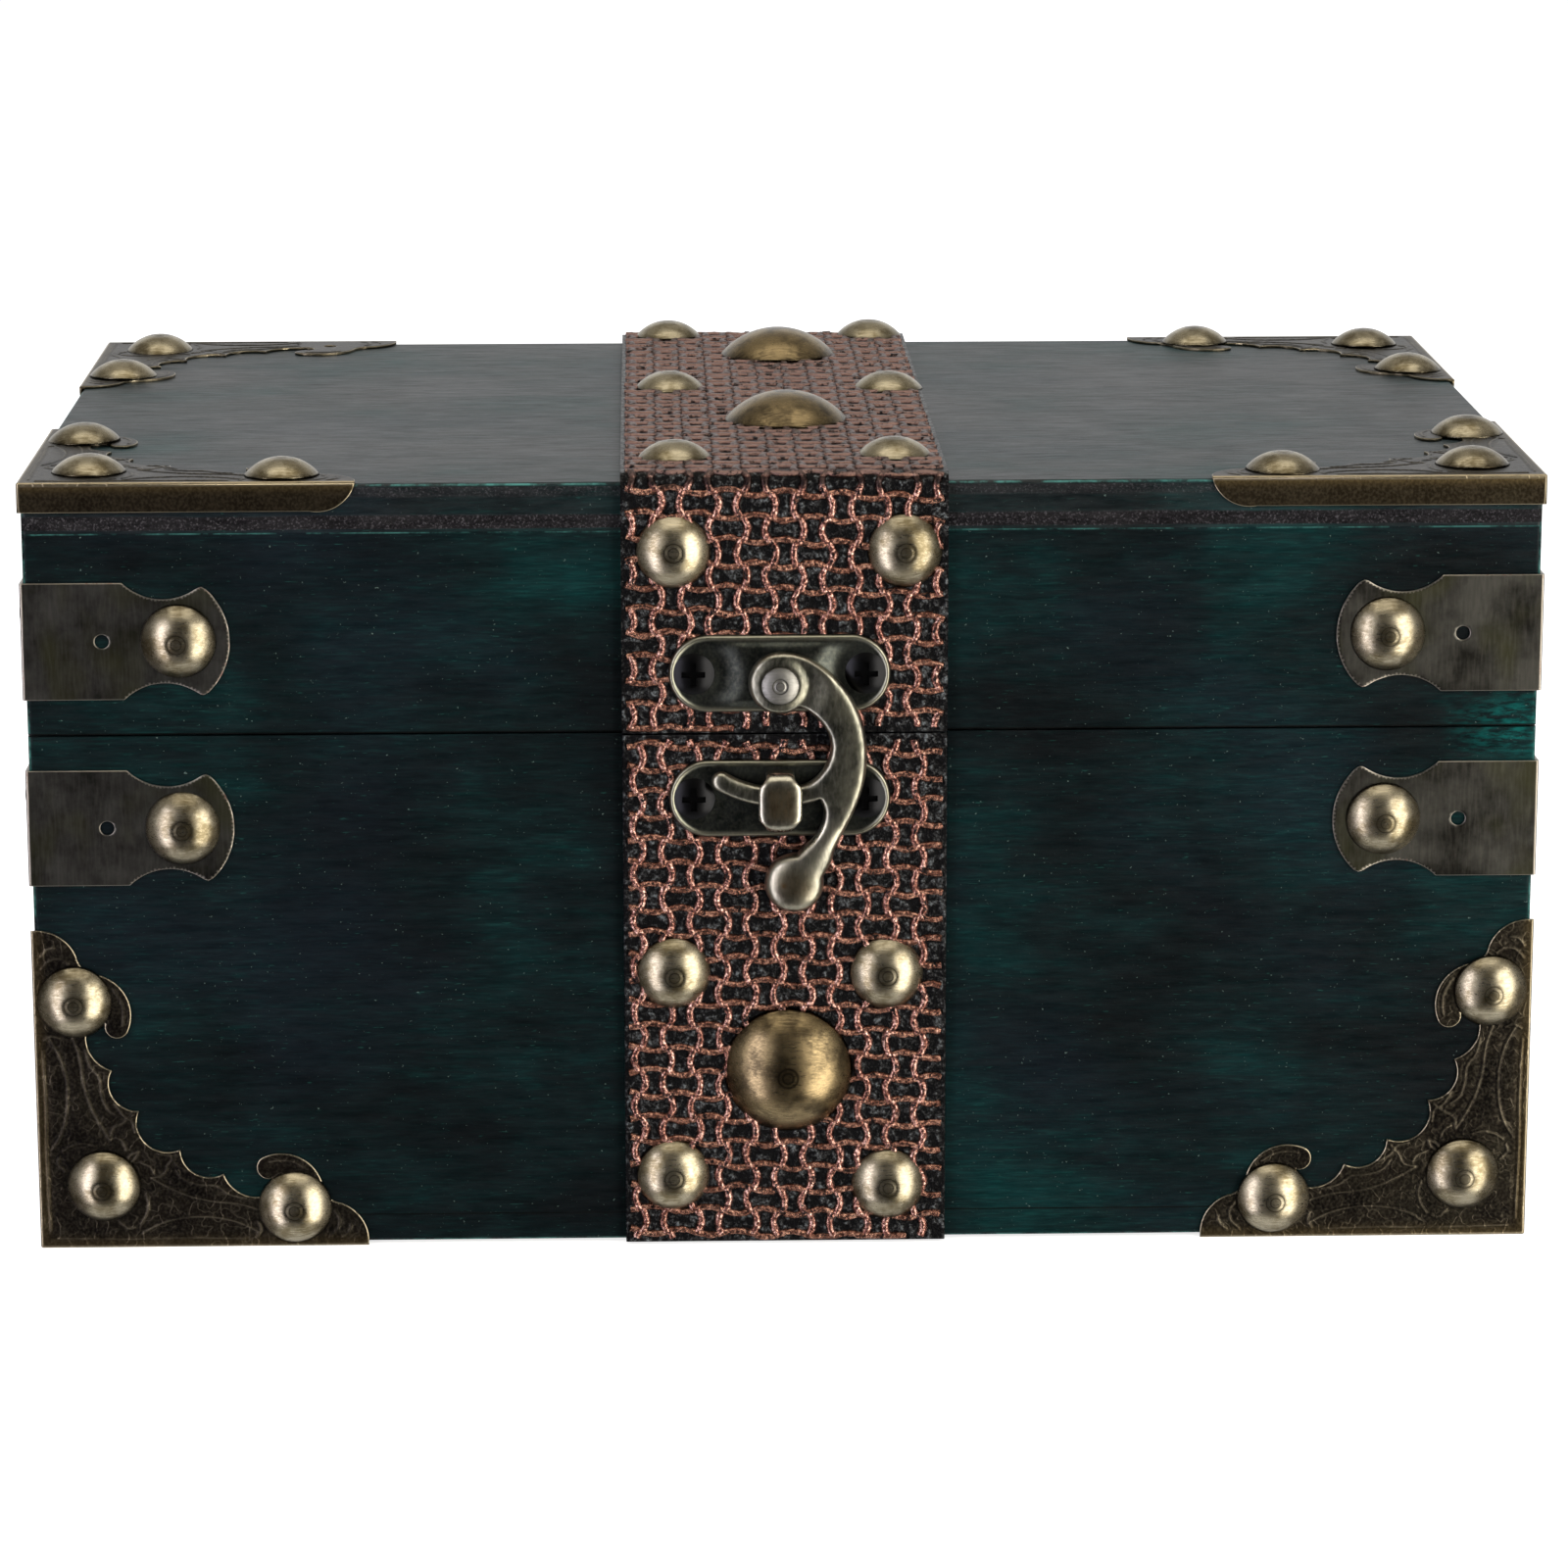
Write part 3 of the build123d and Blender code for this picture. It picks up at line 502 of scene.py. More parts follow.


# %% [markdown]
# ## Antique brass and bronze
#
# The fittings are steel and zinc castings plated with brass, dipped dark, then rubbed so that the
# high places are bright again. One recipe serves them all: a dark patina and a bright rubbed
# metal, mixed by how worn the spot is and by highlights painted on edges, folds and ridges. Both
# come from an attribute where the mesh carries one, and the wear otherwise from noise. Brass stays
# a metal throughout, so only its tint and its roughness change.

# %% Aged metal
def aged_metal(
    name, patina, deep, bright, rough_dark=0.42, rough_bright=0.30, rub=0.09, blotch_mm=5.0,
    bump_mm=0.02, brown="#6b5334", tinge="#33302a", tinge_share=0.0, streak_mm=0.5,
    leaf_lines=False, rust=0.0,
):
    """A dark plated metal. Attributes give its wear with painted highlights, its engraving and
    stamping, and its browning with a fold's painted reflection.
    """
    material, tree = new_material(name)
    place = add(tree, COORDS)
    blotches = drawn_noise(tree, place, [blotch_mm] * 3, 5.0, 0.62)
    grit = drawn_noise(tree, place, (0.45, 0.45, streak_mm), 3.0, 0.5)
    wear_and_highlight, engraved, browned_and_fold_reflection = (
        add(tree, ATTRIBUTE, attribute_name=label)["Fac"]
        for label in ("wear_and_highlight", "engraved", "browned_and_fold_reflection")
    )
    share = add(tree, RANGE, (blotches, 0.36, 0.62))[0]
    colours = {0: share, 6: linear(deep), 7: linear(patina)}
    colour = add(tree, MIX, colours, data_type="RGBA")[2]
    if tinge_share:
        broad = drawn_noise(tree, place, (9.0, 9.0, 14.0), 2.0, 0.5)
        share = add(tree, RANGE, (broad, 0.48, 0.66, 0.0, tinge_share))[0]
        colour = add(tree, MIX, {0: share, 6: colour, 7: linear(tinge)}, data_type="RGBA")[2]
    worn_and_highlit = add(tree, RANGE, (grit, 0.42, 0.78, 0.0, rub))[0]
    worn_and_highlit = add(tree, MATH, (worn_and_highlit, wear_and_highlight), operation="ADD")[0]
    # The tops of the engraving are lighter here and there only: rubbed, and painted as highlights
    # of the ridges
    rubbed_and_lit = add(tree, RANGE, (blotches, 0.42, 0.60, 0.06, 0.26))[0]
    ridge = add(tree, RANGE, (engraved, 0.15, 0.95))[0]
    ridge = add(tree, MATH, (ridge, rubbed_and_lit), operation="MULTIPLY")[0]
    worn_and_highlit = add(tree, MATH, (worn_and_highlit, ridge), operation="ADD", use_clamp=True)[0]
    height = add(tree, MATH, (grit, blotches), operation="ADD")[0]
    if leaf_lines:
        # The stamped ground between the scrolls: level lines of a noise curl like small leaves,
        # lightened a little as painted highlights of the relief
        curls = drawn_noise(tree, place, (2.3, 2.3, 2.3), 1.5, 0.5)
        lines = near_level(tree, curls, 0.5, 0.028, 0.006)
        seen_here = add(tree, RANGE, (blotches, 0.44, 0.62, 0.0, 0.11))[0]
        stamped = add(tree, ATTRIBUTE, attribute_name="stamped")["Fac"]
        lines = add(tree, MATH, (lines, stamped), operation="MULTIPLY")[0]
        share = add(tree, MATH, (lines, seen_here), operation="MULTIPLY")[0]
        worn_and_highlit = add(tree, MATH, (worn_and_highlit, share), operation="ADD", use_clamp=True)[0]
        height = add(tree, MATH, (lines, 0.9, height), operation="MULTIPLY_ADD")[0]
    colour = add(tree, MIX, {0: worn_and_highlit, 6: colour, 7: linear(bright)}, data_type="RGBA")[2]
    grainy = add(tree, RANGE, (grit, 0.35, 0.65, 0.55, 1.0))[0]
    share = add(tree, MATH, (browned_and_fold_reflection, grainy), operation="MULTIPLY")[0]
    colour = add(tree, MIX, {0: share, 6: colour, 7: linear(brown)}, data_type="RGBA")[2]
    if rust:
        fine = drawn_noise(tree, place, (0.7, 0.7, 0.7), 3.0, 0.7)
        share = add(tree, RANGE, (fine, 0.50, 0.60, 0.0, rust))[0]
        share = add(tree, MATH, (share, wear_and_highlight), operation="MULTIPLY")[0]
        patch = add(tree, RANGE, (blotches, 0.55, 0.60))[0]
        share = add(tree, MATH, (share, patch), operation="MULTIPLY")[0]
        colour = add(tree, MIX, {0: share, 6: colour, 7: linear("#7a3527")}, data_type="RGBA")[2]
    roughness = add(tree, MIX, (worn_and_highlit, None, rough_dark, rough_bright), data_type="FLOAT")[0]
    bump = add(tree, BUMP, {"Height": height, "Strength": 0.6, "Distance": bump_mm * MM})
    look = {"Base Color": colour, "Roughness": roughness, "Metallic": 1.0, "Normal": bump[0]}
    shader = add(tree, SURFACE, look)
    add(tree, OUTPUT, (shader[0],))
    return material


print("recipe for aged metal ready")

# %% The metals of the fittings
# Thin sheet, stamped and dipped: nearly black-brown with pale brass on its cut edges
plate_brass = aged_metal(
    "dipped_brass_sheet", "#221e19", "#12100f", "#a89d85", bump_mm=0.04, brown="#6a5a3a",
    tinge="#2b2820", tinge_share=0.4, leaf_lines=True,
)
# The plain clips are rubbed more evenly and look greyer, with fine marks along their height
clip_brass = aged_metal(
    "rubbed_brass_clips", "#4f4e49", "#252421", "#b4aca0", 0.38, 0.30, rub=0.07, blotch_mm=9.0,
    tinge="#43432f", tinge_share=0.8, streak_mm=3.5, rust=0.8,
)
hinge_bronze = aged_metal(
    "plated_hinge_leaf", "#6a5a3e", "#463b2a", "#c0a878", rub=0.15,
    tinge="#4a4030", tinge_share=0.4,
)
latch_bronze = aged_metal(
    "cast_latch_bronze", "#7b796a", "#40413a", "#d8d2c0", 0.31, 0.24, rub=0.24, blotch_mm=4.0,
    bump_mm=0.012, brown="#6f5838", streak_mm=1.4,
)
plate_bronze = aged_metal(
    "cast_latch_plate_bronze", "#434642", "#262927", "#bdb9a2", 0.33, 0.28, rub=0.08,
    blotch_mm=4.0, bump_mm=0.015,
)
# Black oxide is a thin dull layer that leaves the screw's steel hardly any shine
screw_black, tree = new_material("black_oxide_screw")
look = {"Base Color": linear("#1d1d1e"), "Roughness": 0.30, "Metallic": 1.0}
shader = add(tree, SURFACE, look)
add(tree, OUTPUT, (shader[0],))
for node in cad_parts:
    if "corner" in node or "edge_clip" in node:
        dress(clip_brass if "clip" in node else plate_brass, node)
    if "hinge" in node:
        dress(hinge_bronze, node)
dress(plate_bronze, "latch_plate", "keeper_plate")
dress(latch_bronze, "latch_arm")
dress(screw_black, "latch_screws", "keeper_screws")
print("metals:", [m.name for m in (plate_brass, clip_brass, hinge_bronze, latch_bronze)])


# %% [markdown]
# ## Dense faces with relief
#
# A CAD plate has one large flat face, too few points to carry engraving or a worn rim. The next
# functions fill such a face again with many small triangles. The outline's own points are kept,
# a ring of points runs just inside the outline for the rim, and an even field of points fills the
# rest, closer together where a stroke of the engraving passes. A constrained Delaunay
# triangulation joins them without a sliver.

# %% Distances and inside tests
def distance_to(points, starts, ends):
    """Distance from each point to the nearest of some segments."""
    best = np.full(len(points), np.inf)
    for a, b in zip(starts, ends):
        run = b - a
        length = max(run @ run, 1e-18)
        share = np.clip((points - a) @ run / length, 0, 1)
        gap = points - a - share[:, None] * run
        best = np.minimum(best, np.hypot(gap[:, 0], gap[:, 1]))
    return best


def inside(points, starts, ends):
    """True where a point lies inside the outline, with its holes left out."""
    crossings = np.zeros(len(points), int)
    x, y = points[:, 0], points[:, 1]
    for a, b in zip(starts, ends):
        spans = (a[1] > y) != (b[1] > y)
        if a[1] != b[1]:
            cut = a[0] + (y - a[1]) * (b[0] - a[0]) / (b[1] - a[1])
            crossings += spans & (x < cut)
    return crossings % 2 == 1


print("distance and inside tests ready")


# %% Points inside an outline
def field_points(low, high, spacing):
    """Points in staggered rows over a rectangle."""
    xs = np.arange(low[0], high[0] + spacing, spacing)
    ys = np.arange(low[1], high[1] + spacing, spacing * 0.866)
    grid_x, grid_y = np.meshgrid(xs, ys)
    grid_x = grid_x + (np.arange(len(ys)) % 2)[:, None] * spacing / 2
    return np.column_stack((grid_x.ravel(), grid_y.ravel()))


def ring_points(starts, ends, inset, spacing):
    """Points just inside the outline, kept where no other part of it is nearer."""
    out = []
    for a, b in zip(starts, ends):
        run = b - a
        length = np.hypot(*run)
        if length < 1e-7:
            continue
        steps = max(1, int(length / spacing))
        shares = (np.arange(steps) + 0.5) / steps
        side = np.array((-run[1], run[0])) / length * inset
        middle = a + shares[:, None] * run
        out += [middle + side, middle - side]
    ring = np.vstack(out)
    keep = inside(ring, starts, ends) & (distance_to(ring, starts, ends) > inset * 0.97)
    ring = ring[keep]
    cells = np.round(ring / (spacing * 0.45)).astype(int)
    return ring[np.unique(cells, axis=0, return_index=True)[1]]


print("points on a 10 mm square:", len(field_points((0, 0), (10 * MM, 10 * MM), MM)))


# %% Filling an outline with triangles
def fill_face(outline, edges, spacing, coarse, inset, strokes=()):
    """Triangles over an outline: points, triangles, how far in each point lies, and its source.

    The source is the point's number in the outline, and for a new point a higher one or -1.
    """
    starts, ends = outline[edges[:, 0]], outline[edges[:, 1]]
    low, high = outline.min(0), outline.max(0)
    fine = field_points(low, high, spacing)
    fine = fine[inside(fine, starts, ends)]
    rim_gap = distance_to(fine, starts, ends)
    past_ring, rim_band = rim_gap > inset * 1.6, spacing * 2.5
    dense = past_ring & (rim_gap < rim_band)
    broad = field_points(low, high, coarse)
    broad = broad[inside(broad, starts, ends)]
    far = distance_to(broad, starts, ends) > rim_band
    if len(strokes):
        dense |= past_ring & (distance_to(fine, strokes[:, 0], strokes[:, 1]) < 0.55 * MM)
        far &= distance_to(broad, strokes[:, 0], strokes[:, 1]) > 0.6 * MM
    ring = ring_points(starts, ends, inset, spacing)
    points = np.vstack((outline, ring, fine[dense], broad[far]))
    # The triangulation works in millimetres, where its tolerance suits the distances
    to_mm = 1000.0
    spots = [Vector(p) for p in points * to_mm]
    found = delaunay_2d_cdt(spots, [tuple(map(int, e)) for e in edges], [], 1, 1e-7)
    corners = np.array([tuple(v) for v in found[0]]) / to_mm
    first = [source[0] if source else -1 for source in found[3]]
    triangles = np.array(found[2])
    middles = corners[triangles].mean(1)
    triangles = triangles[inside(middles, starts, ends)]
    return corners, triangles, distance_to(corners, starts, ends), first


print("face filling ready")


# %% [markdown]
# A folded plate keeps its CAD solid: only its flat outer faces are taken out and filled again, so
# folds, flanges and cut edges stay where they are. Points on a sharp outline sink a little, which
# rounds the cut edge, and get the full value of wear and highlight, so that the outline is bright:
# rubbed, and with a painted highlight along the edge. The folds get it too.

# %% Copies and outlines of CAD nodes
def welded(node):
    """A copy of a CAD node in one piece, because the triangles of its own mesh are loose."""
    shell = bmesh.new()
    shell.from_mesh(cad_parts[node].data)
    bmesh.ops.remove_doubles(shell, verts=shell.verts, dist=0.001 * MM)
    return shell


def flat_outline(edges, along, across):
    """The vertices of some edges, their places in a plane, and the pairs that the edges join."""
    # A dictionary's keys keep their order and a set's don't, so every run gives the same mesh
    rim = list(dict.fromkeys(v for e in edges for v in e.verts))
    where = {v: i for i, v in enumerate(rim)}
    outline = np.array([(v.co.dot(along), v.co.dot(across)) for v in rim])
    pairs = np.array([(where[e.verts[0]], where[e.verts[1]]) for e in edges])
    return rim, outline, pairs


print("lid's corner plate in one piece:", len(welded("lid_corner_front_left").verts), "points")

# %% Filling the flat faces of a sheet
RIM_RING, RIM_SINK = 0.14 * MM, 0.09 * MM


def detailed_sheet(node, directions, relief, spacing=0.3 * MM, coarse=0.9 * MM):
    """A copy of a CAD node whose flat outer faces are dense, with values of wear and painted
    highlight, and of engraving.
    """
    shell = welded(node)
    wear_and_highlight = shell.verts.layers.float.new("wear_and_highlight")
    engraved = shell.verts.layers.float.new("engraved")
    for label in ("browned_and_fold_reflection", "stamped"):
        shell.verts.layers.float.new(label)
    jobs = []
    for number, (out, along) in enumerate(directions):
        out, along = Vector(out), Vector(along)
        across = out.cross(along)
        level = max(v.co.dot(out) for v in shell.verts)
        flat = dict.fromkeys(
            f
            for f in shell.faces
            if f.normal.dot(out) > 0.9999 and abs(f.calc_center_median().dot(out) - level) < 2e-6
        )
        edges, folds = [], set()
        for edge in dict.fromkeys(e for f in flat for e in f.edges):
            others = [f for f in edge.link_faces if f not in flat]
            if others:
                edges.append(edge)
                if others[0].normal.dot(out) > 0.5:
                    folds.update(edge.verts)
        jobs.append((number, out, along, across, level, flat, edges, folds))
    for number, out, along, across, level, flat, edges, folds in jobs:
        rim, outline, pairs = flat_outline(edges, along, across)
        strokes = relief(number, None, None)
        points, triangles, gap, first = fill_face(
            outline, pairs, spacing, coarse, RIM_RING, strokes
        )
        height, cut = relief(number, points, gap)
        bmesh.ops.delete(shell, geom=list(flat), context="FACES")
        made = []
        for i, point in enumerate(points):
            if 0 <= first[i] < len(rim):
                # An outline point gets full wear and a painted highlight
                v = rim[first[i]]
                v[wear_and_highlight] = 1.0
                if v not in folds:
                    v.co -= out * RIM_SINK
            else:
                place = along * point[0] + across * point[1]
                v = shell.verts.new(place + out * (level + float(height[i])))
                v[engraved] = float(cut[i])
            made.append(v)
        for a, b, c in triangles:
            if len({made[a], made[b], made[c]}) == 3:
                shell.faces.new((made[a], made[b], made[c]))
    return shell


print("sheet filling ready")


# %% Finishing a sheet
def finish_mesh(shell, node, material):
    """Turns the shell into a smooth piece that rides on its body in place of a CAD node."""
    shell.normal_update()
    name = f"{node}_finished"
    mesh = bpy.data.meshes.new(name)
    shell.to_mesh(mesh)
    mesh.shade_smooth()
    mesh.set_sharp_from_angle(angle=radians(35))
    mesh.materials.append(material)
    piece = shown(name, mesh)
    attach(piece, "lid" if node.startswith("lid") else "box")
    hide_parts(node)
    return piece


print("sheet finishing ready")


# %% [markdown]
# ## Scrollwork of the corner plates
#
# The corner plates are stamped with leaves and scrolls in the manner of countless old fittings:
# lines that echo the scallops and a long leaf along each leg, over a ground of small curls. The
# strokes are written once, for the half below the diagonal, in shares of the leg, and mirrored
# for the other half. Each stroke becomes a low ridge with a groove on each side, in the mesh
# itself.

# %% Strokes
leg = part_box("lid_corner_front_left")[1].x - lid_low.x
line_strokes = [
    [(0.305, 0.035), (0.36, 0.066), (0.43, 0.084), (0.52, 0.086), (0.60, 0.068), (0.665, 0.035)],
    [(0.335, 0.214), (0.39, 0.182), (0.45, 0.155), (0.52, 0.137), (0.60, 0.128), (0.665, 0.108)],
    [(0.625, 0.146), (0.575, 0.158), (0.535, 0.186), (0.49, 0.190), (0.44, 0.205), (0.415, 0.235)],
    [(0.452, 0.232), (0.415, 0.255), (0.395, 0.283), (0.36, 0.290)],
    [(0.415, 0.285), (0.388, 0.252), (0.372, 0.222), (0.335, 0.214)],
    [(0.305, 0.262), (0.333, 0.250), (0.345, 0.228)],
    [(0.300, 0.300), (0.272, 0.285), (0.262, 0.262)],
    [(0.318, 0.165), (0.326, 0.130), (0.318, 0.095), (0.300, 0.066)],
    [(0.045, 0.022), (0.16, 0.020), (0.30, 0.018), (0.45, 0.020), (0.62, 0.016)],
    [(0.880, 0.020), (0.906, 0.045), (0.912, 0.078), (0.896, 0.104)],
    [(0.918, 0.018), (0.942, 0.038), (0.946, 0.062)],
    [(0.700, 0.262), (0.735, 0.266), (0.775, 0.260), (0.815, 0.236)],
    [(0.235, 0.075), (0.262, 0.052), (0.282, 0.056)],
    [(0.655, 0.020), (0.668, 0.045), (0.660, 0.070)],
]


def smooth_segments(stroke, cuts=4):
    """Short straight pieces along a smooth curve through a stroke's points."""
    p = np.array([stroke[0], *stroke, stroke[-1]], float)
    spots = []
    for i in range(1, len(p) - 2):
        for t in np.arange(cuts) / cuts:
            spots.append(
                0.5
                * (
                    2 * p[i]
                    + (p[i + 1] - p[i - 1]) * t
                    + (2 * p[i - 1] - 5 * p[i] + 4 * p[i + 1] - p[i + 2]) * t**2
                    + (3 * p[i] - p[i - 1] - 3 * p[i + 1] + p[i + 2]) * t**3
                )
            )
    spots.append(p[-2])
    spots = np.array(spots) * leg
    return np.stack((spots[:-1], spots[1:]), 1)


half_segments = np.vstack([smooth_segments(s) for s in line_strokes])
scroll_segments = np.vstack((half_segments, half_segments[:, :, ::-1]))
print("engraving segments:", len(scroll_segments))

# %% [markdown]
# The front left plate of the lid is filled and engraved. The seven others are the same plate,
# mirrored for the other side of the box, and for the box's bottom edge tipped forward, so that
# its face lies on the front. A mirrored mesh has its faces turned round again.

# %% One engraved corner plate
corner_spot = np.array((lid_low.x, lid_low.y))


def plate_relief(number, points, gap):
    """Relief of the plate's faces: the scrolls on the first, none on the others."""
    if points is None:
        return scroll_segments + corner_spot if number == 0 else ()
    if number:
        return np.zeros(len(points)), np.zeros(len(points))
    stroke = distance_to(points, *(scroll_segments + corner_spot).swapaxes(0, 1))
    ridge = np.exp(-((stroke / (0.17 * MM)) ** 2))
    groove = np.exp(-(((stroke - 0.36 * MM) / (0.16 * MM)) ** 2))
    height = (0.11 * ridge - 0.07 * groove) * MM
    return height * np.clip(gap / (0.4 * MM), 0, 1), ridge - 0.6 * groove


lid_plate = detailed_sheet(
    "lid_corner_front_left",
    [((0, 0, 1), (1, 0, 0)), ((0, -1, 0), (1, 0, 0)), ((-1, 0, 0), (0, -1, 0))],
    plate_relief,
    spacing=0.24 * MM,
)
wear_and_highlight_layer = lid_plate.verts.layers.float["wear_and_highlight"]
brown_and_fold_reflection_layer = lid_plate.verts.layers.float["browned_and_fold_reflection"]
stamped_layer = lid_plate.verts.layers.float["stamped"]
for vert in lid_plate.verts:
    # The two folds get a painted highlight along their whole length, and a golden brown band
    # beside them is a painted reflection of the rounded fold
    from_fold = min(vert.co.x - lid_low.x, vert.co.y - lid_low.y) / MM
    if vert.co.z > lid_top - 0.1 * MM:
        if from_fold < -0.1:
            vert[wear_and_highlight_layer] = 0.8
        vert[brown_and_fold_reflection_layer] = 0.4 * max(0.0, 1 - max(from_fold, 0.0) / 2.0) ** 1.5
        vert[stamped_layer] = 1.0
    elif from_fold < -0.1:
        # A flange is golden under its fold, a painted reflection of the rounded fold, and dark
        # red-brown below that
        from_top = (lid_top - vert.co.z) / MM
        vert[brown_and_fold_reflection_layer] = 0.12 + 0.7 * max(0.0, 1 - from_top / 1.3)
print("plate points:", len(lid_plate.verts))


# %% Plates at every corner
def placed_copies(shell, kind, material, moves):
    """The piece at each corner, moved by its matrix, and how far it is off its CAD node."""
    for corner, move in moves.items():
        copy = shell.copy()
        bmesh.ops.transform(copy, matrix=move, verts=copy.verts)
        if move.determinant() < 0:
            bmesh.ops.reverse_faces(copy, faces=copy.faces)
        node = f"{kind}_{corner}"
        piece = finish_mesh(copy, node, material)
        low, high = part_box(node)
        co = np.array([v.co for v in piece.data.vertices])
        off = max(np.abs(co.min(0) - low).max(), np.abs(co.max(0) - high).max())
        print(node, "off by mm", round(float(off) / MM, 3), "faces", len(piece.data.polygons))
        copy.free()


def corner_moves(start=Matrix.Identity(4)):
    """Matrices that carry the front left piece to all four corners."""
    flip_x = Matrix.Scale(-1, 4, (1, 0, 0))
    to_back = Matrix.Translation((0, 2 * middle_y, 0)) @ Matrix.Scale(-1, 4, (0, 1, 0))
    return {
        "front_left": start,
        "front_right": flip_x @ start,
        "back_left": to_back @ start,
        "back_right": to_back @ flip_x @ start,
    }


placed_copies(lid_plate, "lid_corner", plate_brass, corner_moves())
tip_forward = (
    Matrix.Translation((lid_low.x, lid_low.y, box_foot))
    @ Matrix(((1, 0, 0, 0), (0, 0, -1, 0), (0, 1, 0, 0), (0, 0, 0, 1)))
    @ Matrix.Translation((-lid_low.x, -lid_low.y, -lid_top))
)
placed_copies(lid_plate, "body_corner", plate_brass, corner_moves(tip_forward))

# %% [markdown]
# ## Edge clips
#
# A clip is plain sheet with a waist and a fishtail end. It has no ornament, but it isn't quite
# flat either: hammering the nail in has dished it a little. Its outline and its fold are bright:
# rubbed, and with a painted highlight.

# %% One clip
def clip_relief(number, points, gap):
    """A very shallow dish round the middle of each wing."""
    if points is None:
        return ()
    spread = np.clip(gap / (4 * MM), 0, 1)
    return -0.05 * MM * spread**2, np.zeros(len(points))


lid_clip = detailed_sheet(
    "lid_edge_clip_front_left",
    [((0, -1, 0), (1, 0, 0)), ((-1, 0, 0), (0, -1, 0))],
    clip_relief,
    spacing=0.35 * MM,
    coarse=1.4 * MM,
)
clip_low, clip_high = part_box("lid_edge_clip_front_left")
clip_middle = (clip_low.z + clip_high.z) / 2
print("clip in mm", [[round(v / MM, 2) for v in end] for end in (clip_low, clip_high)])

# %% Rounded tips
# The fishtail lies further out than this from the clip's fold, and the small hole nearer
tips_from, hole_to = 24 * MM, 16 * MM


def round_tips(shell, radius):
    """Pulls the pointed tips of the fishtail in to an arc that touches both of their edges."""
    spots = {}
    for vert in shell.verts:
        reach = np.array((vert.co.x - clip_low.x, vert.co.y - clip_low.y))
        spots[vert] = (int(reach.argmax()), np.array((reach.max(), abs(vert.co.z - clip_middle))))
    far = [at for _, at in spots.values() if at[0] > tips_from]
    tip = max(far, key=lambda at: at[1])
    end = max(at[0] for at in far)
    middle = (end**2 - tip @ tip) / (end - tip[0]) / 2
    outer = (tip - (middle, 0)) / (end - middle)
    waist = [at for at in far if 0.6 * MM < tip[0] - at[0] < 1.6 * MM]
    back = max(waist, key=lambda at: at[1]) - tip
    inner = np.array((back[1], -back[0])) / np.hypot(*back)
    inner *= 1 if inner[1] > 0 else -1
    # The arc's middle lies one radius inside both edges
    centre = tip + np.linalg.solve(np.array((outer, inner)), (-radius, -radius))
    moved = 0
    for vert, (axis, at) in spots.items():
        out = at - centre
        length = np.hypot(*out)
        if length < 1e-9 or at[0] < tips_from:
            continue
        between = np.linalg.solve(np.array((outer, inner)).T, out / length)
        if between.min() <= 0:
            continue
        at = centre + out * max(out @ outer, out @ inner) / length
        sign = 1 if vert.co.z > clip_middle else -1
        vert.co.z = clip_middle + sign * at[1]
        vert.co[axis] = clip_low[axis] + at[0]
        moved += 1
    print("tip at mm", (tip / MM).round(2), "points moved", moved)


round_tips(lid_clip, 1.3 * MM)

# %% Clips at every upright edge
wear_and_highlight_layer = lid_clip.verts.layers.float["wear_and_highlight"]
for vert in lid_clip.verts:
    # The fold gets rubbed wear and a painted highlight
    if vert.co.x < lid_low.x - 0.1 * MM and vert.co.y < lid_low.y - 0.1 * MM:
        vert[wear_and_highlight_layer] = 0.6
    reach = max(vert.co.x - clip_low.x, vert.co.y - clip_low.y)
    if abs(vert.co.z - clip_middle) < 1.6 * MM and reach < hole_to:
        # The rim of the small hole in the wing gets little of the rub and the painted highlight
        vert[wear_and_highlight_layer] *= 0.25
placed_copies(lid_clip, "lid_edge_clip", clip_brass, corner_moves())
clip_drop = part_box("lid_edge_clip_front_left")[0].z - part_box("body_edge_clip_front_left")[0].z
lower = Matrix.Translation((0, 0, -clip_drop))
placed_copies(lid_clip, "body_edge_clip", clip_brass, corner_moves(lower))


# %% [markdown]
# ## Woven strap
#
# The strap is black imitation leather, embossed like a coarse basket weave, with copper foil on
# the ridges only. The ridges repeat by a simple rule, so Geometry Nodes draw them. Wavy lines run
# across the strap, one every 3.7 mm along it, each half a wave behind its neighbour. Between two
# lines stand short upright ties, in pairs that close a wide cell where the lines come together
# and a narrow one where they part. The whole pattern lies a little askew on the strap. The tree
# draws it flat first, makes round ribs of the lines, and then wraps them round the strap's path.

# %% Geometry tree helpers
def geometry_tree(name, inputs):
    """A new tree with named inputs, and the outputs of its input node."""
    tree = bpy.data.node_groups.new(name, "GeometryNodeTree")
    tree.interface.new_socket("Geometry", in_out="INPUT", socket_type="NodeSocketGeometry")
    for label, (kind, value) in inputs.items():
        socket = tree.interface.new_socket(label, in_out="INPUT", socket_type=kind)
        if value is not None:
            socket.default_value = value
    tree.interface.new_socket("Geometry", in_out="OUTPUT", socket_type="NodeSocketGeometry")
    return tree, add(tree, "NodeGroupInput")


def grown(tree, seed_mesh, name, values):
    """The plain object that a tree makes from a mesh, its inputs set by their identifiers."""
    carrier = shown(name, seed_mesh)
    modifier = carrier.modifiers.new("grow", "NODES")
    modifier.node_group = tree
    for item in tree.interface.items_tree:
        if item.item_type == "SOCKET" and item.in_out == "INPUT" and item.name in values:
            modifier[item.identifier] = values[item.name]
    made = carrier.evaluated_get(bpy.context.evaluated_depsgraph_get())
    mesh = bpy.data.meshes.new_from_object(made)
    carrier.modifiers.clear()
    carrier.data = mesh
    print(name, "faces", len(mesh.polygons))
    return carrier


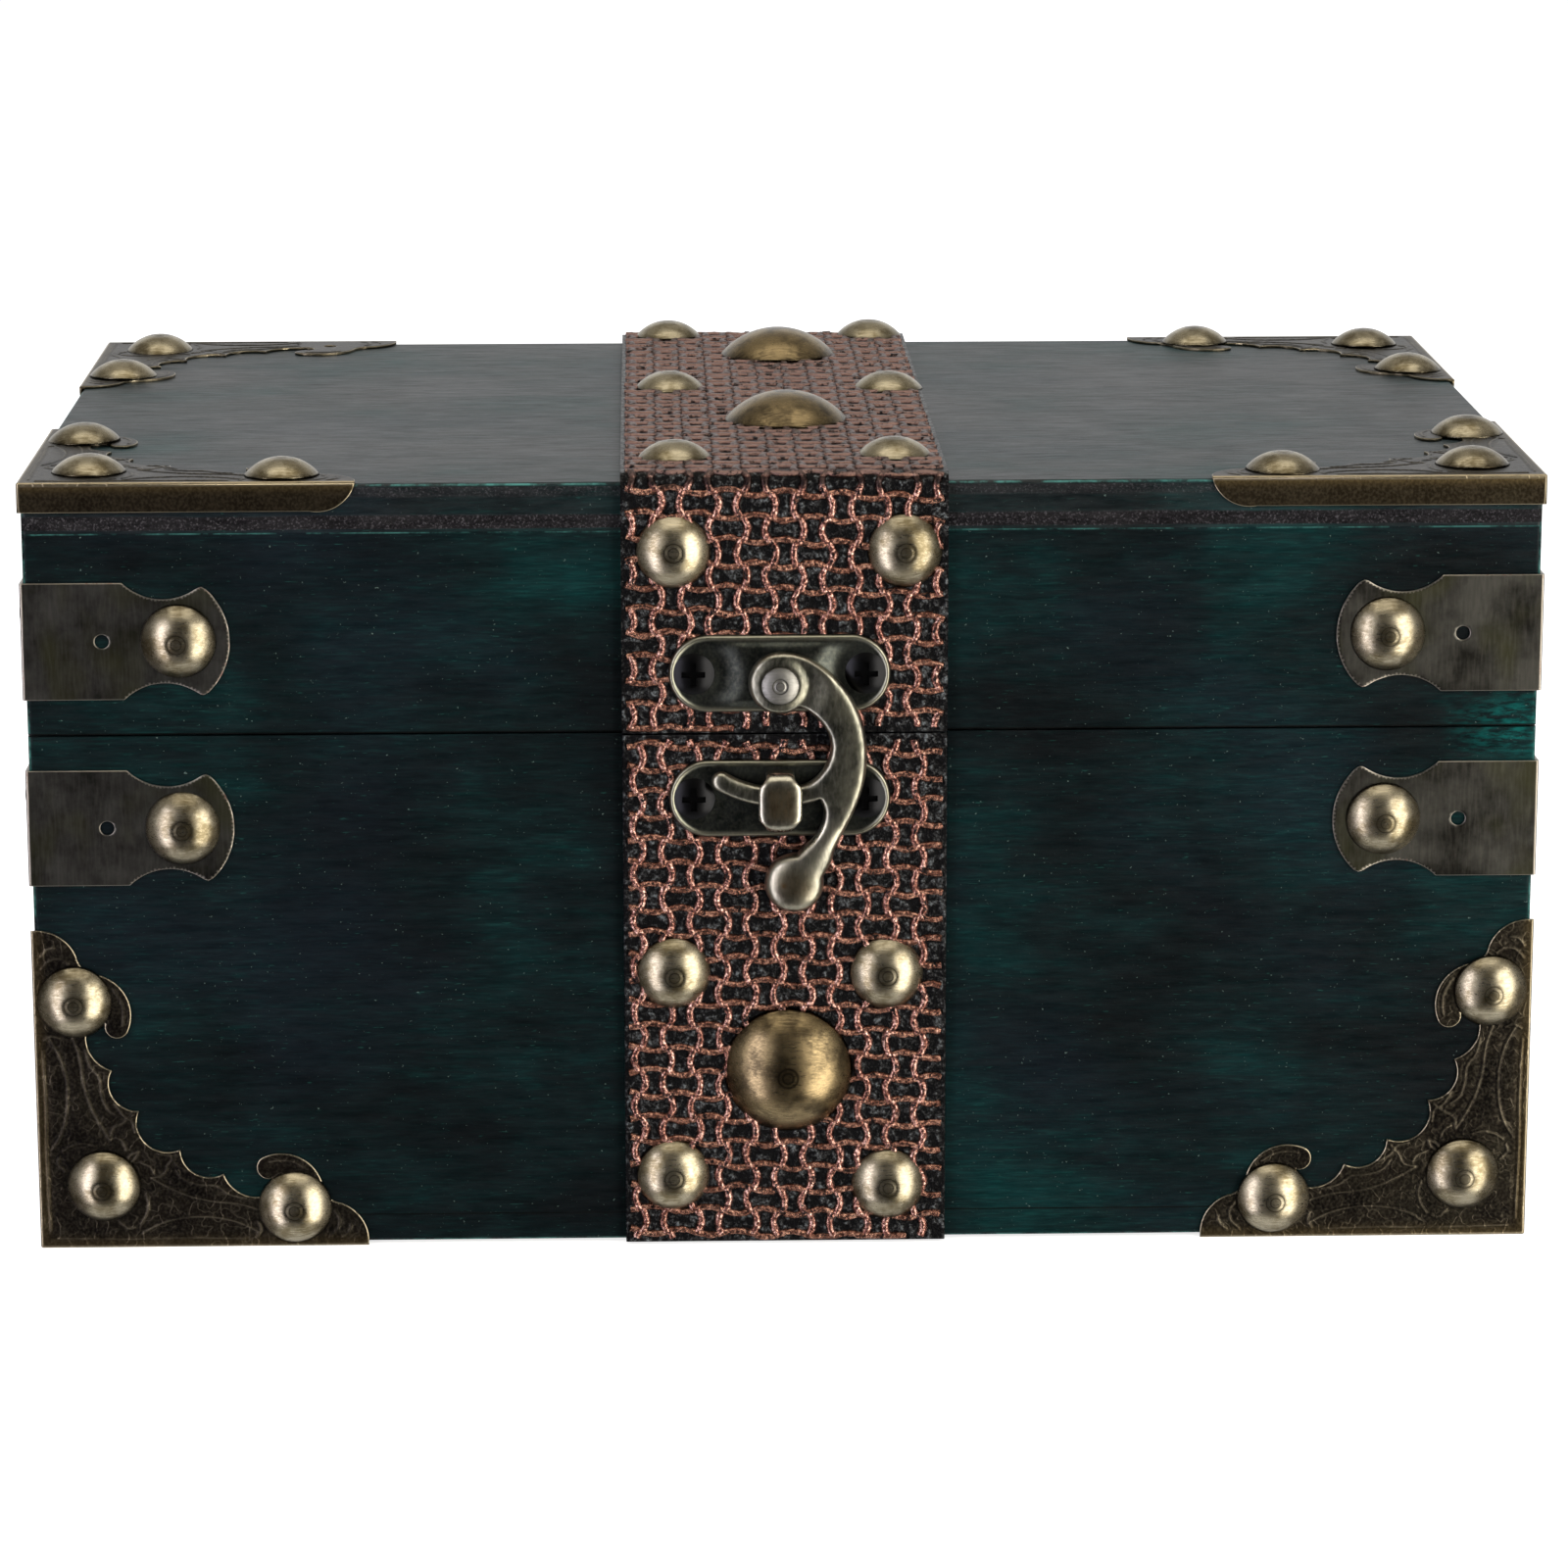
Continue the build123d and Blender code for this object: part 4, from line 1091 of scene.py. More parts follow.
def counted(tree, number, size):
    """Which group a whole number falls in, when groups of a size are counted from 0."""
    number = add(tree, MATH, (number, 0.5), operation="ADD")[0]
    number = add(tree, MATH, (number, size), operation="DIVIDE")[0]
    return add(tree, MATH, (number,), operation="FLOOR")[0]


print("tree helpers ready")

# %% The weave's tree: wavy lines across the strap
FLOAT, INTEGER = "NodeSocketFloat", "NodeSocketInt"
STORE, READ = "GeometryNodeStoreNamedAttribute", "GeometryNodeInputNamedAttribute"
PLACE, DELETE = "GeometryNodeSetPosition", "GeometryNodeDeleteGeometry"
STAND, REALIZE = "GeometryNodeInstanceOnPoints", "GeometryNodeRealizeInstances"
weave, given = geometry_tree(
    "woven_ribs",
    {
        "Half width": (FLOAT, 24.0 * MM),
        "Row spacing": (FLOAT, 3.68 * MM),
        "Wave length": (FLOAT, 8.6 * MM),
        "Wave height": (FLOAT, 0.44 * MM),
        "Wide cell": (FLOAT, 4.7 * MM),
        "Bulge": (FLOAT, 0.66 * MM),
        "Rib radius": (FLOAT, 0.57 * MM),
        "Slope": (FLOAT, -0.036),
        "Shift": (FLOAT, 0.0),
        "Row shift": (FLOAT, 0.0),
        "Seed": (FLOAT, 3.0),
        "Material": ("NodeSocketMaterial", None),
    },
)
points_in_line, points_in_tie, rib_sides = 84, 8, 6
spacing, wave_length = given["Row spacing"], given["Wave length"]
rib_radius, half_width = given["Rib radius"], given["Half width"]
path = add(weave, "GeometryNodeMeshToCurve", (given["Geometry"],))[0]
path_length = add(weave, "GeometryNodeCurveLength", (path,))[0]
rows = add(weave, MATH, (path_length, spacing), operation="DIVIDE")[0]
# The rows start and end beyond the strap, so that the skewed pattern covers all of it
rows_before = 2.0
rows = add(weave, MATH, (rows, 2 * rows_before), operation="ADD")[0]
rows = add(weave, MATH, (rows,), operation="FLOOR")[0]
left = add(weave, MATH, (half_width, -1.0), operation="MULTIPLY")[0]
ends = [add(weave, JOIN, (x,))[0] for x in (left, half_width)]
line = add(weave, "GeometryNodeCurvePrimitiveLine", ends)[0]
line = add(weave, "GeometryNodeResampleCurve", {0: line, 2: points_in_line}, mode="COUNT")[0]
one_row = add(weave, JOIN, (0.0, spacing))[0]
start = (spacing, -rows_before, given["Row shift"])
start = add(weave, MATH, start, operation="MULTIPLY_ADD")[0]
first_row = add(weave, JOIN, (0.0, start))[0]
row_points = {0: rows, 2: first_row, 3: one_row}
row_points = add(weave, "GeometryNodeMeshLine", row_points, mode="OFFSET")[0]
index = add(weave, "GeometryNodeInputIndex")[0]
row_points = add(weave, STORE, {0: row_points, 2: "row", 3: index})[0]
lines = add(weave, STAND, {0: row_points, 2: line})[0]
lines = add(weave, REALIZE, (lines,))[0]
row = add(weave, READ, ("row",), data_type="FLOAT")[0]
position = add(weave, "GeometryNodeInputPosition")[0]
spot = add(weave, SPLIT, (position,))
# How far a row's line stands off its own level at a place across the strap
turns = add(weave, MATH, (spot[0], given["Shift"]), operation="SUBTRACT")[0]
turns = add(weave, MATH, (turns, wave_length), operation="DIVIDE")[0]
turns = add(weave, MATH, (row, -0.5, turns), operation="MULTIPLY_ADD")[0]
angle = add(weave, MATH, (turns, 2 * pi), operation="MULTIPLY")[0]
angle = add(weave, MATH, (angle,), operation="COSINE")[0]
wave = add(weave, MATH, (angle, given["Wave height"]), operation="MULTIPLY")[0]
risen = add(weave, JOIN, (0.0, wave))[0]
lines = add(weave, PLACE, {0: lines, 3: risen})[0]
print("line nodes:", len(weave.nodes))

# %% [markdown]
# The ties stand on a grid of points: the number of a point gives its row and its place in the
# row, the row's parity shifts it by half a wave, and every second tie belongs to the right side
# of its cell. A tie is a short upright line that bulges out of its wide cell.

# %% The ties' places
def row_level(number):
    """The level of a row's line along the strap, before it waves."""
    number = add(weave, MATH, (number, rows_before), operation="SUBTRACT")[0]
    return add(weave, MATH, (number, spacing, given["Row shift"]), operation="MULTIPLY_ADD")[0]


ties_in_row = 14
grid = add(weave, MATH, (rows, ties_in_row), operation="MULTIPLY")[0]
grid = add(weave, "GeometryNodeMeshLine", (grid,))[0]
tie_row = counted(weave, index, ties_in_row)
before = add(weave, MATH, (tie_row, ties_in_row), operation="MULTIPLY")[0]
tie_place = add(weave, MATH, (index, before), operation="SUBTRACT")[0]
cell = counted(weave, tie_place, 2.0)
# The side is -1 for the left tie of a cell and 1 for the right one
side = add(weave, MATH, (cell, -2.0, tie_place), operation="MULTIPLY_ADD")[0]
side = add(weave, MATH, (side, 2.0, -1.0), operation="MULTIPLY_ADD")[0]
half_step = add(weave, MATH, (tie_row, 2.0), operation="FLOORED_MODULO")[0]
half_step = add(weave, MATH, (half_step, 0.5, -(ties_in_row // 4)), operation="MULTIPLY_ADD")[0]
cell_x = add(weave, MATH, (cell, half_step), operation="ADD")[0]
tie_x = add(weave, MATH, (cell_x, wave_length, given["Shift"]), operation="MULTIPLY_ADD")[0]
half_side = add(weave, MATH, (side, 0.5), operation="MULTIPLY")[0]
tie_x = add(weave, MATH, (half_side, given["Wide cell"], tie_x), operation="MULTIPLY_ADD")[0]
at = add(weave, JOIN, (tie_x, row_level(tie_row)))[0]
grid = add(weave, STORE, {0: grid, 2: "row", 3: tie_row})[0]
grid = add(weave, STORE, {0: grid, 2: "side", 3: side})[0]
grid = add(weave, PLACE, {0: grid, 2: at})[0]
# A tie that would stand on the strap's edge is left out
from_middle = add(weave, MATH, (spot[0],), operation="ABSOLUTE")[0]
room = add(weave, MATH, (half_width, 0.5 * MM), operation="SUBTRACT")[0]
off_strap = add(weave, MATH, (from_middle, room), operation="GREATER_THAN")[0]
grid = add(weave, DELETE, (grid, off_strap), domain="POINT")[0]
print("with places of ties:", len(weave.nodes))

# %% The ties
tie = add(weave, "GeometryNodeCurvePrimitiveLine", ((0, 0, 0), one_row))[0]
tie = add(weave, "GeometryNodeResampleCurve", {0: tie, 2: points_in_tie}, mode="COUNT")[0]
ties = add(weave, STAND, {0: grid, 2: tie})[0]
ties = add(weave, REALIZE, (ties,))[0]
tie_side = add(weave, READ, ("side",), data_type="FLOAT")[0]
climb = add(weave, MATH, (spot[1], row_level(row)), operation="SUBTRACT")[0]
climb = add(weave, MATH, (climb, spacing), operation="DIVIDE")[0]
swell = add(weave, MATH, (climb, pi), operation="MULTIPLY")[0]
swell = add(weave, MATH, (swell,), operation="SINE")[0]
swell = add(weave, MATH, (swell, tie_side), operation="MULTIPLY")[0]
push = add(weave, MATH, (swell, given["Bulge"]), operation="MULTIPLY")[0]
# The lower end follows its own line and the upper end the next one, which is half a wave on
joined = add(weave, MATH, (climb, -2.0, 1.0), operation="MULTIPLY_ADD")[0]
joined = add(weave, MATH, (wave, joined), operation="MULTIPLY")[0]
bent = add(weave, JOIN, (push, joined))[0]
ties = add(weave, PLACE, {0: ties, 3: bent})[0]
print("with tie nodes:", len(weave.nodes))

# %% Wobble, skew and trimmed ends
both = add(weave, "GeometryNodeJoinGeometry", (lines,))
weave.links.new(ties, weave.nodes[-1].inputs[0])
wobble_at = add(weave, JOIN, (spot[0], spot[1], given["Seed"]))[0]
wobble = add(weave, NOISE, {"Vector": wobble_at, "Scale": 300.0, "Detail": 2.0})["Color"]
wobble = add(weave, VECTOR, (wobble, (0.5, 0.5, 0.5)), operation="SUBTRACT")[0]
wobble_size = (0.75 * MM, 0.60 * MM, 0.15 * MM)
skew = add(weave, MATH, (spot[0], given["Slope"]), operation="MULTIPLY")[0]
skew = add(weave, JOIN, (0.0, skew))[0]
moved = add(weave, VECTOR, (wobble, wobble_size, skew), operation="MULTIPLY_ADD")[0]
curves = add(weave, PLACE, {0: both[0], 3: moved})[0]
margin = add(weave, MATH, (rib_radius, 1.1), operation="MULTIPLY")[0]
last = add(weave, MATH, (path_length, margin), operation="SUBTRACT")[0]
beyond = add(weave, MATH, (spot[1], last), operation="GREATER_THAN")[0]
short_of = add(weave, MATH, (spot[1], margin), operation="LESS_THAN")[0]
outside = add(weave, MATH, (beyond, short_of), operation="MAXIMUM")[0]
curves = add(weave, DELETE, (curves, outside), domain="POINT")[0]
points_left = add(weave, "GeometryNodeSplineLength")["Point Count"]
too_short = add(weave, MATH, (points_left, 2.5), operation="LESS_THAN")[0]
curves = add(weave, DELETE, (curves, too_short), domain="CURVE")[0]
print("with trimmed ends:", len(weave.nodes))

# %% Round ribs, wrapped round the strap
thick = add(weave, NOISE, {"Vector": wobble_at, "Scale": 900.0, "Detail": 2.0})["Fac"]
thick = add(weave, MATH, (thick, 0.9, 0.55), operation="MULTIPLY_ADD")[0]
stouter = add(weave, MATH, (tie_side,), operation="ABSOLUTE")[0]
stouter = add(weave, MATH, (stouter, 0.12, 1.0), operation="MULTIPLY_ADD")[0]
thick = add(weave, MATH, (thick, stouter), operation="MULTIPLY")[0]
ring = add(weave, "GeometryNodeCurvePrimitiveCircle", {0: rib_sides, 4: rib_radius})[0]
rib_form = {"Curve": curves, "Profile Curve": ring, "Scale": thick, "Fill Caps": True}
ribs = add(weave, "GeometryNodeCurveToMesh", rib_form)[0]
on_path = {"Curves": path, "Length": spot[1]}
on_path = add(weave, "GeometryNodeSampleCurve", on_path, mode="LENGTH")
runs = add(weave, SPLIT, (on_path["Tangent"],))
inward = add(weave, MATH, (runs[2], -1.0), operation="MULTIPLY")[0]
outward = add(weave, JOIN, (0.0, inward, runs[1]))[0]
# The press has flattened the ribs, and none stands higher than this
highest = 0.66 * MM
flatter = add(weave, MATH, (spot[2], 0.85), operation="MULTIPLY")[0]
flatter = add(weave, MATH, (flatter, highest), operation="MINIMUM")[0]
raised = add(weave, VECTOR, {0: outward, "Scale": flatter}, operation="SCALE")[0]
across = add(weave, JOIN, (spot[0],))[0]
wrapped = add(weave, VECTOR, (on_path["Position"], across), operation="ADD")[0]
wrapped = add(weave, VECTOR, (wrapped, raised), operation="ADD")[0]
ribs = add(weave, PLACE, {0: ribs, 2: wrapped})[0]
ribs = add(weave, "GeometryNodeSetShadeSmooth", (ribs,))[0]
ribs = add(weave, REALIZE, (ribs,))[0]
ribs = add(weave, "GeometryNodeSetMaterial", {0: ribs, 2: given["Material"]})[0]
add(weave, "NodeGroupOutput", (ribs,))
print("weave tree nodes:", len(weave.nodes))


# %% [markdown]
# Copper foil is thin metal over a grained base. The lying ribs look brown and dull and the ties
# pinker, with bright streaks where they mirror the lamps and pale glints painted into their grain,
# and both have cracks through to the black. The base is imitation leather, black and a little
# glossy, whose grain has small grey glints painted into its colour as well as its own shine.

# %% Copper foil
copper_foil, tree = new_material("worn_copper_foil")
place = add(tree, COORDS)
grain = drawn_noise(tree, place, (0.55, 0.55, 0.55), 4.0, 0.7)
cracks = drawn_noise(tree, place, (1.3, 1.3, 1.3), 5.0, 0.75)
patches = drawn_noise(tree, place, (5.0, 5.0, 5.0), 3.0, 0.5)
tie = add(tree, ATTRIBUTE, attribute_name="side")["Fac"]
tie = add(tree, MATH, (tie,), operation="ABSOLUTE")[0]
# The bright end of each ramp is a painted glint in the foil's crinkles, the rest its own tone
stops = ((0.40, "#2e1a13"), (0.63, "#c99c88"), (0.50, "#83594a"))
flat_foil = add(tree, RAMP, (grain,), stops=stops)[0]
stops = ((0.40, "#2b140f"), (0.64, "#e6bfb1"), (0.50, "#825449"))
tie_foil = add(tree, RAMP, (grain,), stops=stops)[0]
colour = add(tree, MIX, {0: tie, 6: flat_foil, 7: tie_foil}, data_type="RGBA")[2]
colour = layered(tree, colour, ((patches, 0.40, 0.70, 0.0, 0.4, "#5e3426"),))
# On top of the lid the foil's colour turns grey, a painted sheen, and the foil is rougher there
on_top = add(tree, SPLIT, (place["Object"],))[2]
sheen_from, sheen_to = lid_top + 0.9 * MM, lid_top + 1.3 * MM
share = add(tree, RANGE, (on_top, sheen_from, sheen_to, 0.0, 0.9))[0]
painted_top_sheen = add(tree, MIX, {0: tie, 6: linear("#77605a"), 7: linear("#4f413e")}, data_type="RGBA")[2]
colour = add(tree, MIX, {0: share, 6: colour, 7: painted_top_sheen}, data_type="RGBA")[2]
# Cracks go through to the black, and where the strap turns down little foil is left
cracked = add(tree, RANGE, (cracks, 0.455, 0.39))[0]
ragged = add(tree, MATH, (patches, 3.0 * MM, on_top), operation="MULTIPLY_ADD")[0]
bare = add(tree, RANGE, (ragged, lid_top + 0.5 * MM, sheen_to, 0.0, 0.92))[0]
below = add(tree, RANGE, (on_top, lid_top + 1.2 * MM, sheen_from))[0]
bare = add(tree, MATH, (bare, below), operation="MULTIPLY")[0]
bare = add(tree, MATH, (cracked, bare), operation="MAXIMUM")[0]
colour = add(tree, MIX, {0: bare, 6: colour, 7: linear("#0c0708")}, data_type="RGBA")[2]
bump = add(tree, BUMP, {"Height": grain, "Strength": 1.0, "Distance": 0.13 * MM})
roughness = add(tree, RANGE, (on_top, sheen_from, sheen_to, 0.27, 0.42))[0]
look = {"Base Color": colour, "Roughness": roughness, "Metallic": 0.8, "Normal": bump[0]}
shader = add(tree, SURFACE, look)
add(tree, OUTPUT, (shader[0],))
print("foil nodes:", len(tree.nodes))

# %% Black leather cloth
leather_black, tree = new_material("black_embossed_leathercloth")
place = add(tree, COORDS)
pebble = drawn_noise(tree, place, (0.85, 0.85, 0.85), 4.0, 0.68)
# The ramp's grey top stop paints glints on the peaks of the grain
stops = ((0.53, "#030304"), (0.68, "#50585c"), (0.60, "#08090b"))
colour = add(tree, RAMP, (pebble,), stops=stops)[0]
bump = add(tree, BUMP, {"Height": pebble, "Strength": 1.0, "Distance": 0.36 * MM})
gloss = add(tree, RANGE, (pebble, 0.50, 0.66, 0.06, 0.65))[0]
look = {"Base Color": colour, "Roughness": 0.30, "Specular IOR Level": gloss, "Normal": bump[0]}
shader = add(tree, SURFACE, look)
add(tree, OUTPUT, (shader[0],))
dress(leather_black, "lid_strap", "body_strap_front", "body_strap_back")
print("leather cloth nodes:", len(tree.nodes))


# %% Ribs on the three pieces of the strap
def path_mesh(name, spots):
    """A line of edges through places in the middle plane of the strap."""
    mesh = bpy.data.meshes.new(name)
    edges = [(i, i + 1) for i in range(len(spots) - 1)]
    mesh.from_pydata([(0, y, z) for y, z in spots], edges, [])
    return mesh


# The lid's edge under the strap is eased by 0.8 mm
bend = 0.8 * MM + strap_thickness
front_face, back_face = front_y - strap_thickness, back_y + strap_thickness
top_face = lid_top + strap_thickness
lid_path = [(front_face, lid_foot)]
for degrees in range(0, 91, 15):
    angle = radians(degrees)
    lid_path.append((front_face + bend * (1 - cos(angle)), top_face - bend * (1 - sin(angle))))
lid_path += [(middle_y * 2 - y, z) for y, z in reversed(lid_path)]
weave_jobs = (
    ("lid_weave", "lid", lid_path, 0.0, 0.0),
    ("body_front_weave", "box", [(front_face, box_foot), (front_face, box_rim)], 1.2, 1.0),
    ("body_back_weave", "box", [(back_face, box_rim), (back_face, box_foot)], 2.0, 2.0),
)
for name, body, spots, shift, row_shift in weave_jobs:
    values = {"Shift": shift * MM, "Row shift": row_shift * MM, "Material": copper_foil}
    ribs = grown(weave, path_mesh(name, spots), name, values)
    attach(ribs, body)


# %% [markdown]
# ## Dome nails
#
# The dome nails are pressed sheet brass. The tool leaves a small ring on the crown, and no two
# sit quite straight. One dome is turned from its outline, and Geometry Nodes set it on every
# nail's place with a small tilt and a turn of its own, taken from a fixed seed. The places and
# directions come from the CAD nails.

# %% One dome
def turned_dome(name, radius, rise, shank, length, ring_radius, ring_depth, wall=0.0):
    """A dome, its flat underside and a square spike, with how far out each point lies."""
    ball = (radius**2 + rise**2) / (2 * rise)
    spins, rounds = 56, 22
    ring_width, dimple_width = 0.16 * MM, 0.5 * MM
    verts, shares, faces = [(0, 0, rise + wall - ring_depth * 0.3)], [0.0], []
    rings = []
    for number in range(1, rounds + 1):
        out = radius * (number / rounds) ** 0.85
        z = (ball**2 - out**2) ** 0.5 - (ball - rise) + wall
        z -= ring_depth * np.exp(-(((out - ring_radius) / ring_width) ** 2))
        z -= 0.35 * ring_depth * np.exp(-((out / dimple_width) ** 2))
        rings.append((out, z))
    if wall:
        rings.append((radius, 0))
    for out, z in rings:
        for turn in range(spins):
            angle = 2 * pi * turn / spins
            verts.append((out * cos(angle), out * sin(angle), z))
            shares.append(out / radius)
    rim = 1 + (len(rings) - 1) * spins
    under = len(verts)
    verts.append((0, 0, 0))
    shares.append(1.0)
    for turn in range(spins):
        following = (turn + 1) % spins
        faces.append((0, 1 + turn, 1 + following))
        for a in range(1, rim, spins):
            faces.append((a + turn, a + spins + turn, a + spins + following, a + following))
        faces.append((rim + following, rim + turn, under))
    # The spike starts just inside the dome
    base = len(verts)
    half = shank / 2
    for z in (0.1 * MM, -length):
        verts += [(-half, -half, z), (half, -half, z), (half, half, z), (-half, half, z)]
        shares += [1.0] * 4
    for i in range(4):
        j = (i + 1) % 4
        faces.append((base + i, base + 4 + i, base + 4 + j, base + j))
    faces += [(base, base + 1, base + 2, base + 3), (base + 7, base + 6, base + 5, base + 4)]
    mesh = bpy.data.meshes.new(name)
    mesh.from_pydata(verts, [], faces)
    mesh.attributes.new("outness", "FLOAT", "POINT").data.foreach_set("value", shares)
    mesh.shade_smooth()
    return mesh


print("dome helper ready")


# %% Places of the nails
def nail_places(node, rise):
    """The middle of each dome's underside and the way the dome faces."""
    shell = welded(node)
    seen, places = set(), []
    for start in shell.verts:
        if start in seen:
            continue
        # The nail's list grows while it is walked, until no neighbour is new
        seen.add(start)
        nail = [start]
        for v in nail:
            near = [e.other_vert(v) for e in v.link_edges]
            nail += [other for other in near if other not in seen]
            seen.update(near)
        co = np.array([v.co for v in nail])
        low, high = co.min(0), co.max(0)
        axis = int(np.argmin(high - low))
        sign = 1 if co[:, axis].mean() > (low[axis] + high[axis]) / 2 else -1
        facing = np.zeros(3)
        facing[axis] = sign
        middle = (low + high) / 2
        middle[axis] = (high[axis] if sign > 0 else low[axis]) - sign * rise
        places.append((middle, facing))
    shell.free()
    return places


SMALL_RISE, LARGE_RISE = 2.8 * MM, 4.8 * MM
print("nails on the lid's strap:", len(nail_places("lid_strap_nails", SMALL_RISE)))

# %% The nails' tree
nails, given = geometry_tree(
    "dome_nails",
    {
        "Dome": ("NodeSocketObject", None),
        "Tilt": (FLOAT, radians(3.0)),
        "Dent": (FLOAT, 0.05 * MM),
        "Dent size": (FLOAT, 2.4 * MM),
        "Seed": (INTEGER, 7),
        "Material": ("NodeSocketMaterial", None),
    },
)
RANDOM, tilt = "FunctionNodeRandomValue", given["Tilt"]
facing = add(nails, READ, ("facing",), data_type="FLOAT_VECTOR")[0]
stand = add(nails, "FunctionNodeAlignRotationToVector", {2: facing}, axis="Z")[0]
tilt_low = add(nails, MATH, (tilt, -1.0), operation="MULTIPLY")[0]
least = add(nails, JOIN, (tilt_low, tilt_low, 0.0))[0]
most = add(nails, JOIN, (tilt, tilt, 2 * pi))[0]
lean = {0: least, 1: most, "Seed": given["Seed"]}
lean = add(nails, RANDOM, lean, data_type="FLOAT_VECTOR")[0]
lean = add(nails, "FunctionNodeEulerToRotation", (lean,))[0]
stand = add(nails, "FunctionNodeRotateRotation", (stand, lean), rotation_space="LOCAL")[0]
tone = {2: 0.0, 3: 1.0, "Seed": given["Seed"]}
tone = add(nails, RANDOM, tone, data_type="FLOAT")[1]
toned = add(nails, STORE, {0: given["Geometry"], 2: "tone", 3: tone})[0]
dome = add(nails, "GeometryNodeObjectInfo", (given["Dome"],))["Geometry"]
domes = add(nails, STAND, {0: toned, 2: dome, 5: stand})[0]
domes = add(nails, REALIZE, (domes,))[0]
# Shallow dents of a few millimetres push each point along its normal
position = add(nails, "GeometryNodeInputPosition")[0]
finer = add(nails, MATH, (1.0, given["Dent size"]), operation="DIVIDE")[0]
dent = add(nails, NOISE, {"Vector": position, "Scale": finer, "Detail": 2.0})["Fac"]
dent = add(nails, MATH, (dent, 0.5), operation="SUBTRACT")[0]
dent = add(nails, MATH, (dent, given["Dent"]), operation="MULTIPLY")[0]
normal = add(nails, "GeometryNodeInputNormal")[0]
dent = add(nails, VECTOR, {0: normal, "Scale": dent}, operation="SCALE")[0]
domes = add(nails, PLACE, {0: domes, 3: dent})[0]
domes = add(nails, "GeometryNodeSetMaterial", {0: domes, 2: given["Material"]})[0]
add(nails, "NodeGroupOutput", (domes,))
print("nail tree nodes:", len(nails.nodes))


# %% [markdown]
# Polished brass that has been handled: pale and silvery on the slopes, darker and browner on the
# crown where the tool's ring holds dirt, and dark again towards the rim, as tarnish and as a
# painted dark reflection. The share of the way out from the crown comes as an attribute with the
# dome.

# %% Nail brass
def nail_brass(name, bright, brown, dark, crown, ring, smooth=0.22, rim=0.62):
    """Worn brass of the dome nails: crown is how dirty the top is, ring where its mark runs."""
    material, tree = new_material(name)
    place = add(tree, COORDS)
    out = add(tree, ATTRIBUTE, attribute_name="outness")["Fac"]
    own = add(tree, ATTRIBUTE, attribute_name="tone")["Fac"]
    blotches = drawn_noise(tree, place, (3.6, 3.6, 3.6), 5.0, 0.62)
    scratches = drawn_noise(tree, place, (2.8, 0.3, 0.3), 4.0, 0.72)
    share = add(tree, RANGE, (blotches, 0.44, 0.64, 0.0, 0.9))[0]
    scored = add(tree, RANGE, (scratches, 0.35, 0.65, -0.3, 0.3))[0]
    share = add(tree, MATH, (share, scored), operation="ADD", use_clamp=True)[0]
    colours = {0: share, 6: linear(bright), 7: linear(brown)}
    base = add(tree, MIX, colours, data_type="RGBA")[2]
    on_crown = ((0.0, crown), (1.0, 0.95), (ring, crown), (ring + 0.12, crown * 0.3))
    # Towards the rim the brass darkens, as tarnish and as a painted dark reflection
    dark_rim_stops = ((0.50, 0.0), (rim, 0.06), (0.88, 0.30), (0.96, 0.62))
    crown_dirt_and_dark_rim = add(tree, RAMP, (out,), stops=on_crown + dark_rim_stops)[0]
    broken = add(tree, RANGE, (scratches, 0.3, 0.62, 0.55, 1.15))[0]
    dirt_and_dark_rim = add(tree, MATH, (crown_dirt_and_dark_rim, broken), operation="MULTIPLY")[0]
    # Each nail has had its own life: some are clean all over, some dull and blotched
    dull = add(tree, RANGE, (own, 0.0, 1.0, 0.0, 0.34))[0]
    stained = add(tree, RANGE, (blotches, 0.40, 0.66, 0.25, 1.0))[0]
    dull = add(tree, MATH, (dull, stained), operation="MULTIPLY")[0]
    dirt_and_dark_rim = add(tree, MATH, (dirt_and_dark_rim, dull), operation="ADD", use_clamp=True)[0]
    # The rings that the press tool left are fine dark grooves
    for radius in (ring, ring * 0.55):
        groove = near_level(tree, out, radius, 0.034, 0.010, 0.85)
        dirt_and_dark_rim = add(tree, MATH, (dirt_and_dark_rim, groove), operation="MAXIMUM")[0]
    colour = add(tree, MIX, {0: dirt_and_dark_rim, 6: base, 7: linear(dark)}, data_type="RGBA")[2]
    roughness = add(tree, RANGE, (scratches, 0.3, 0.7, smooth, smooth + 0.14))[0]
    bump = add(tree, BUMP, {"Height": scratches, "Strength": 0.35, "Distance": 0.03 * MM})
    look = {"Base Color": colour, "Roughness": roughness, "Metallic": 1.0, "Normal": bump[0]}
    shader = add(tree, SURFACE, look)
    add(tree, OUTPUT, (shader[0],))
    return material


small_brass = nail_brass("polished_nail_brass", "#a59c86", "#776c52", "#2b251a", 0.40, ring=0.25)
large_brass = nail_brass(
    "browned_dome_brass", "#887758", "#544936", "#1a1510", 0.2, ring=0.15, smooth=0.22, rim=0.7
)
print("nail brass ready")


# %% Nails in place
def set_nails(nodes, dome_mesh, rise, material, tilt, dent_size):
    """Replaces each node's nails by finished ones."""
    template = shown("dome_template", dome_mesh)
    for number, node in enumerate(nodes):
        places = nail_places(node, rise)
        mesh = bpy.data.meshes.new(node)
        mesh.from_pydata([tuple(p) for p, _ in places], [], [])
        facing_values = mesh.attributes.new("facing", "FLOAT_VECTOR", "POINT")
        facing_values.data.foreach_set("vector", np.array([f for _, f in places]).ravel())
        values = {"Dome": template, "Material": material, "Seed": 11 + number}
        values.update({"Tilt": tilt, "Dent size": dent_size})
        piece = grown(nails, mesh, f"{node}_finished", values)
        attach(piece, "lid" if node.startswith("lid") else "box")
        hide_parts(node)
    bpy.data.objects.remove(template)


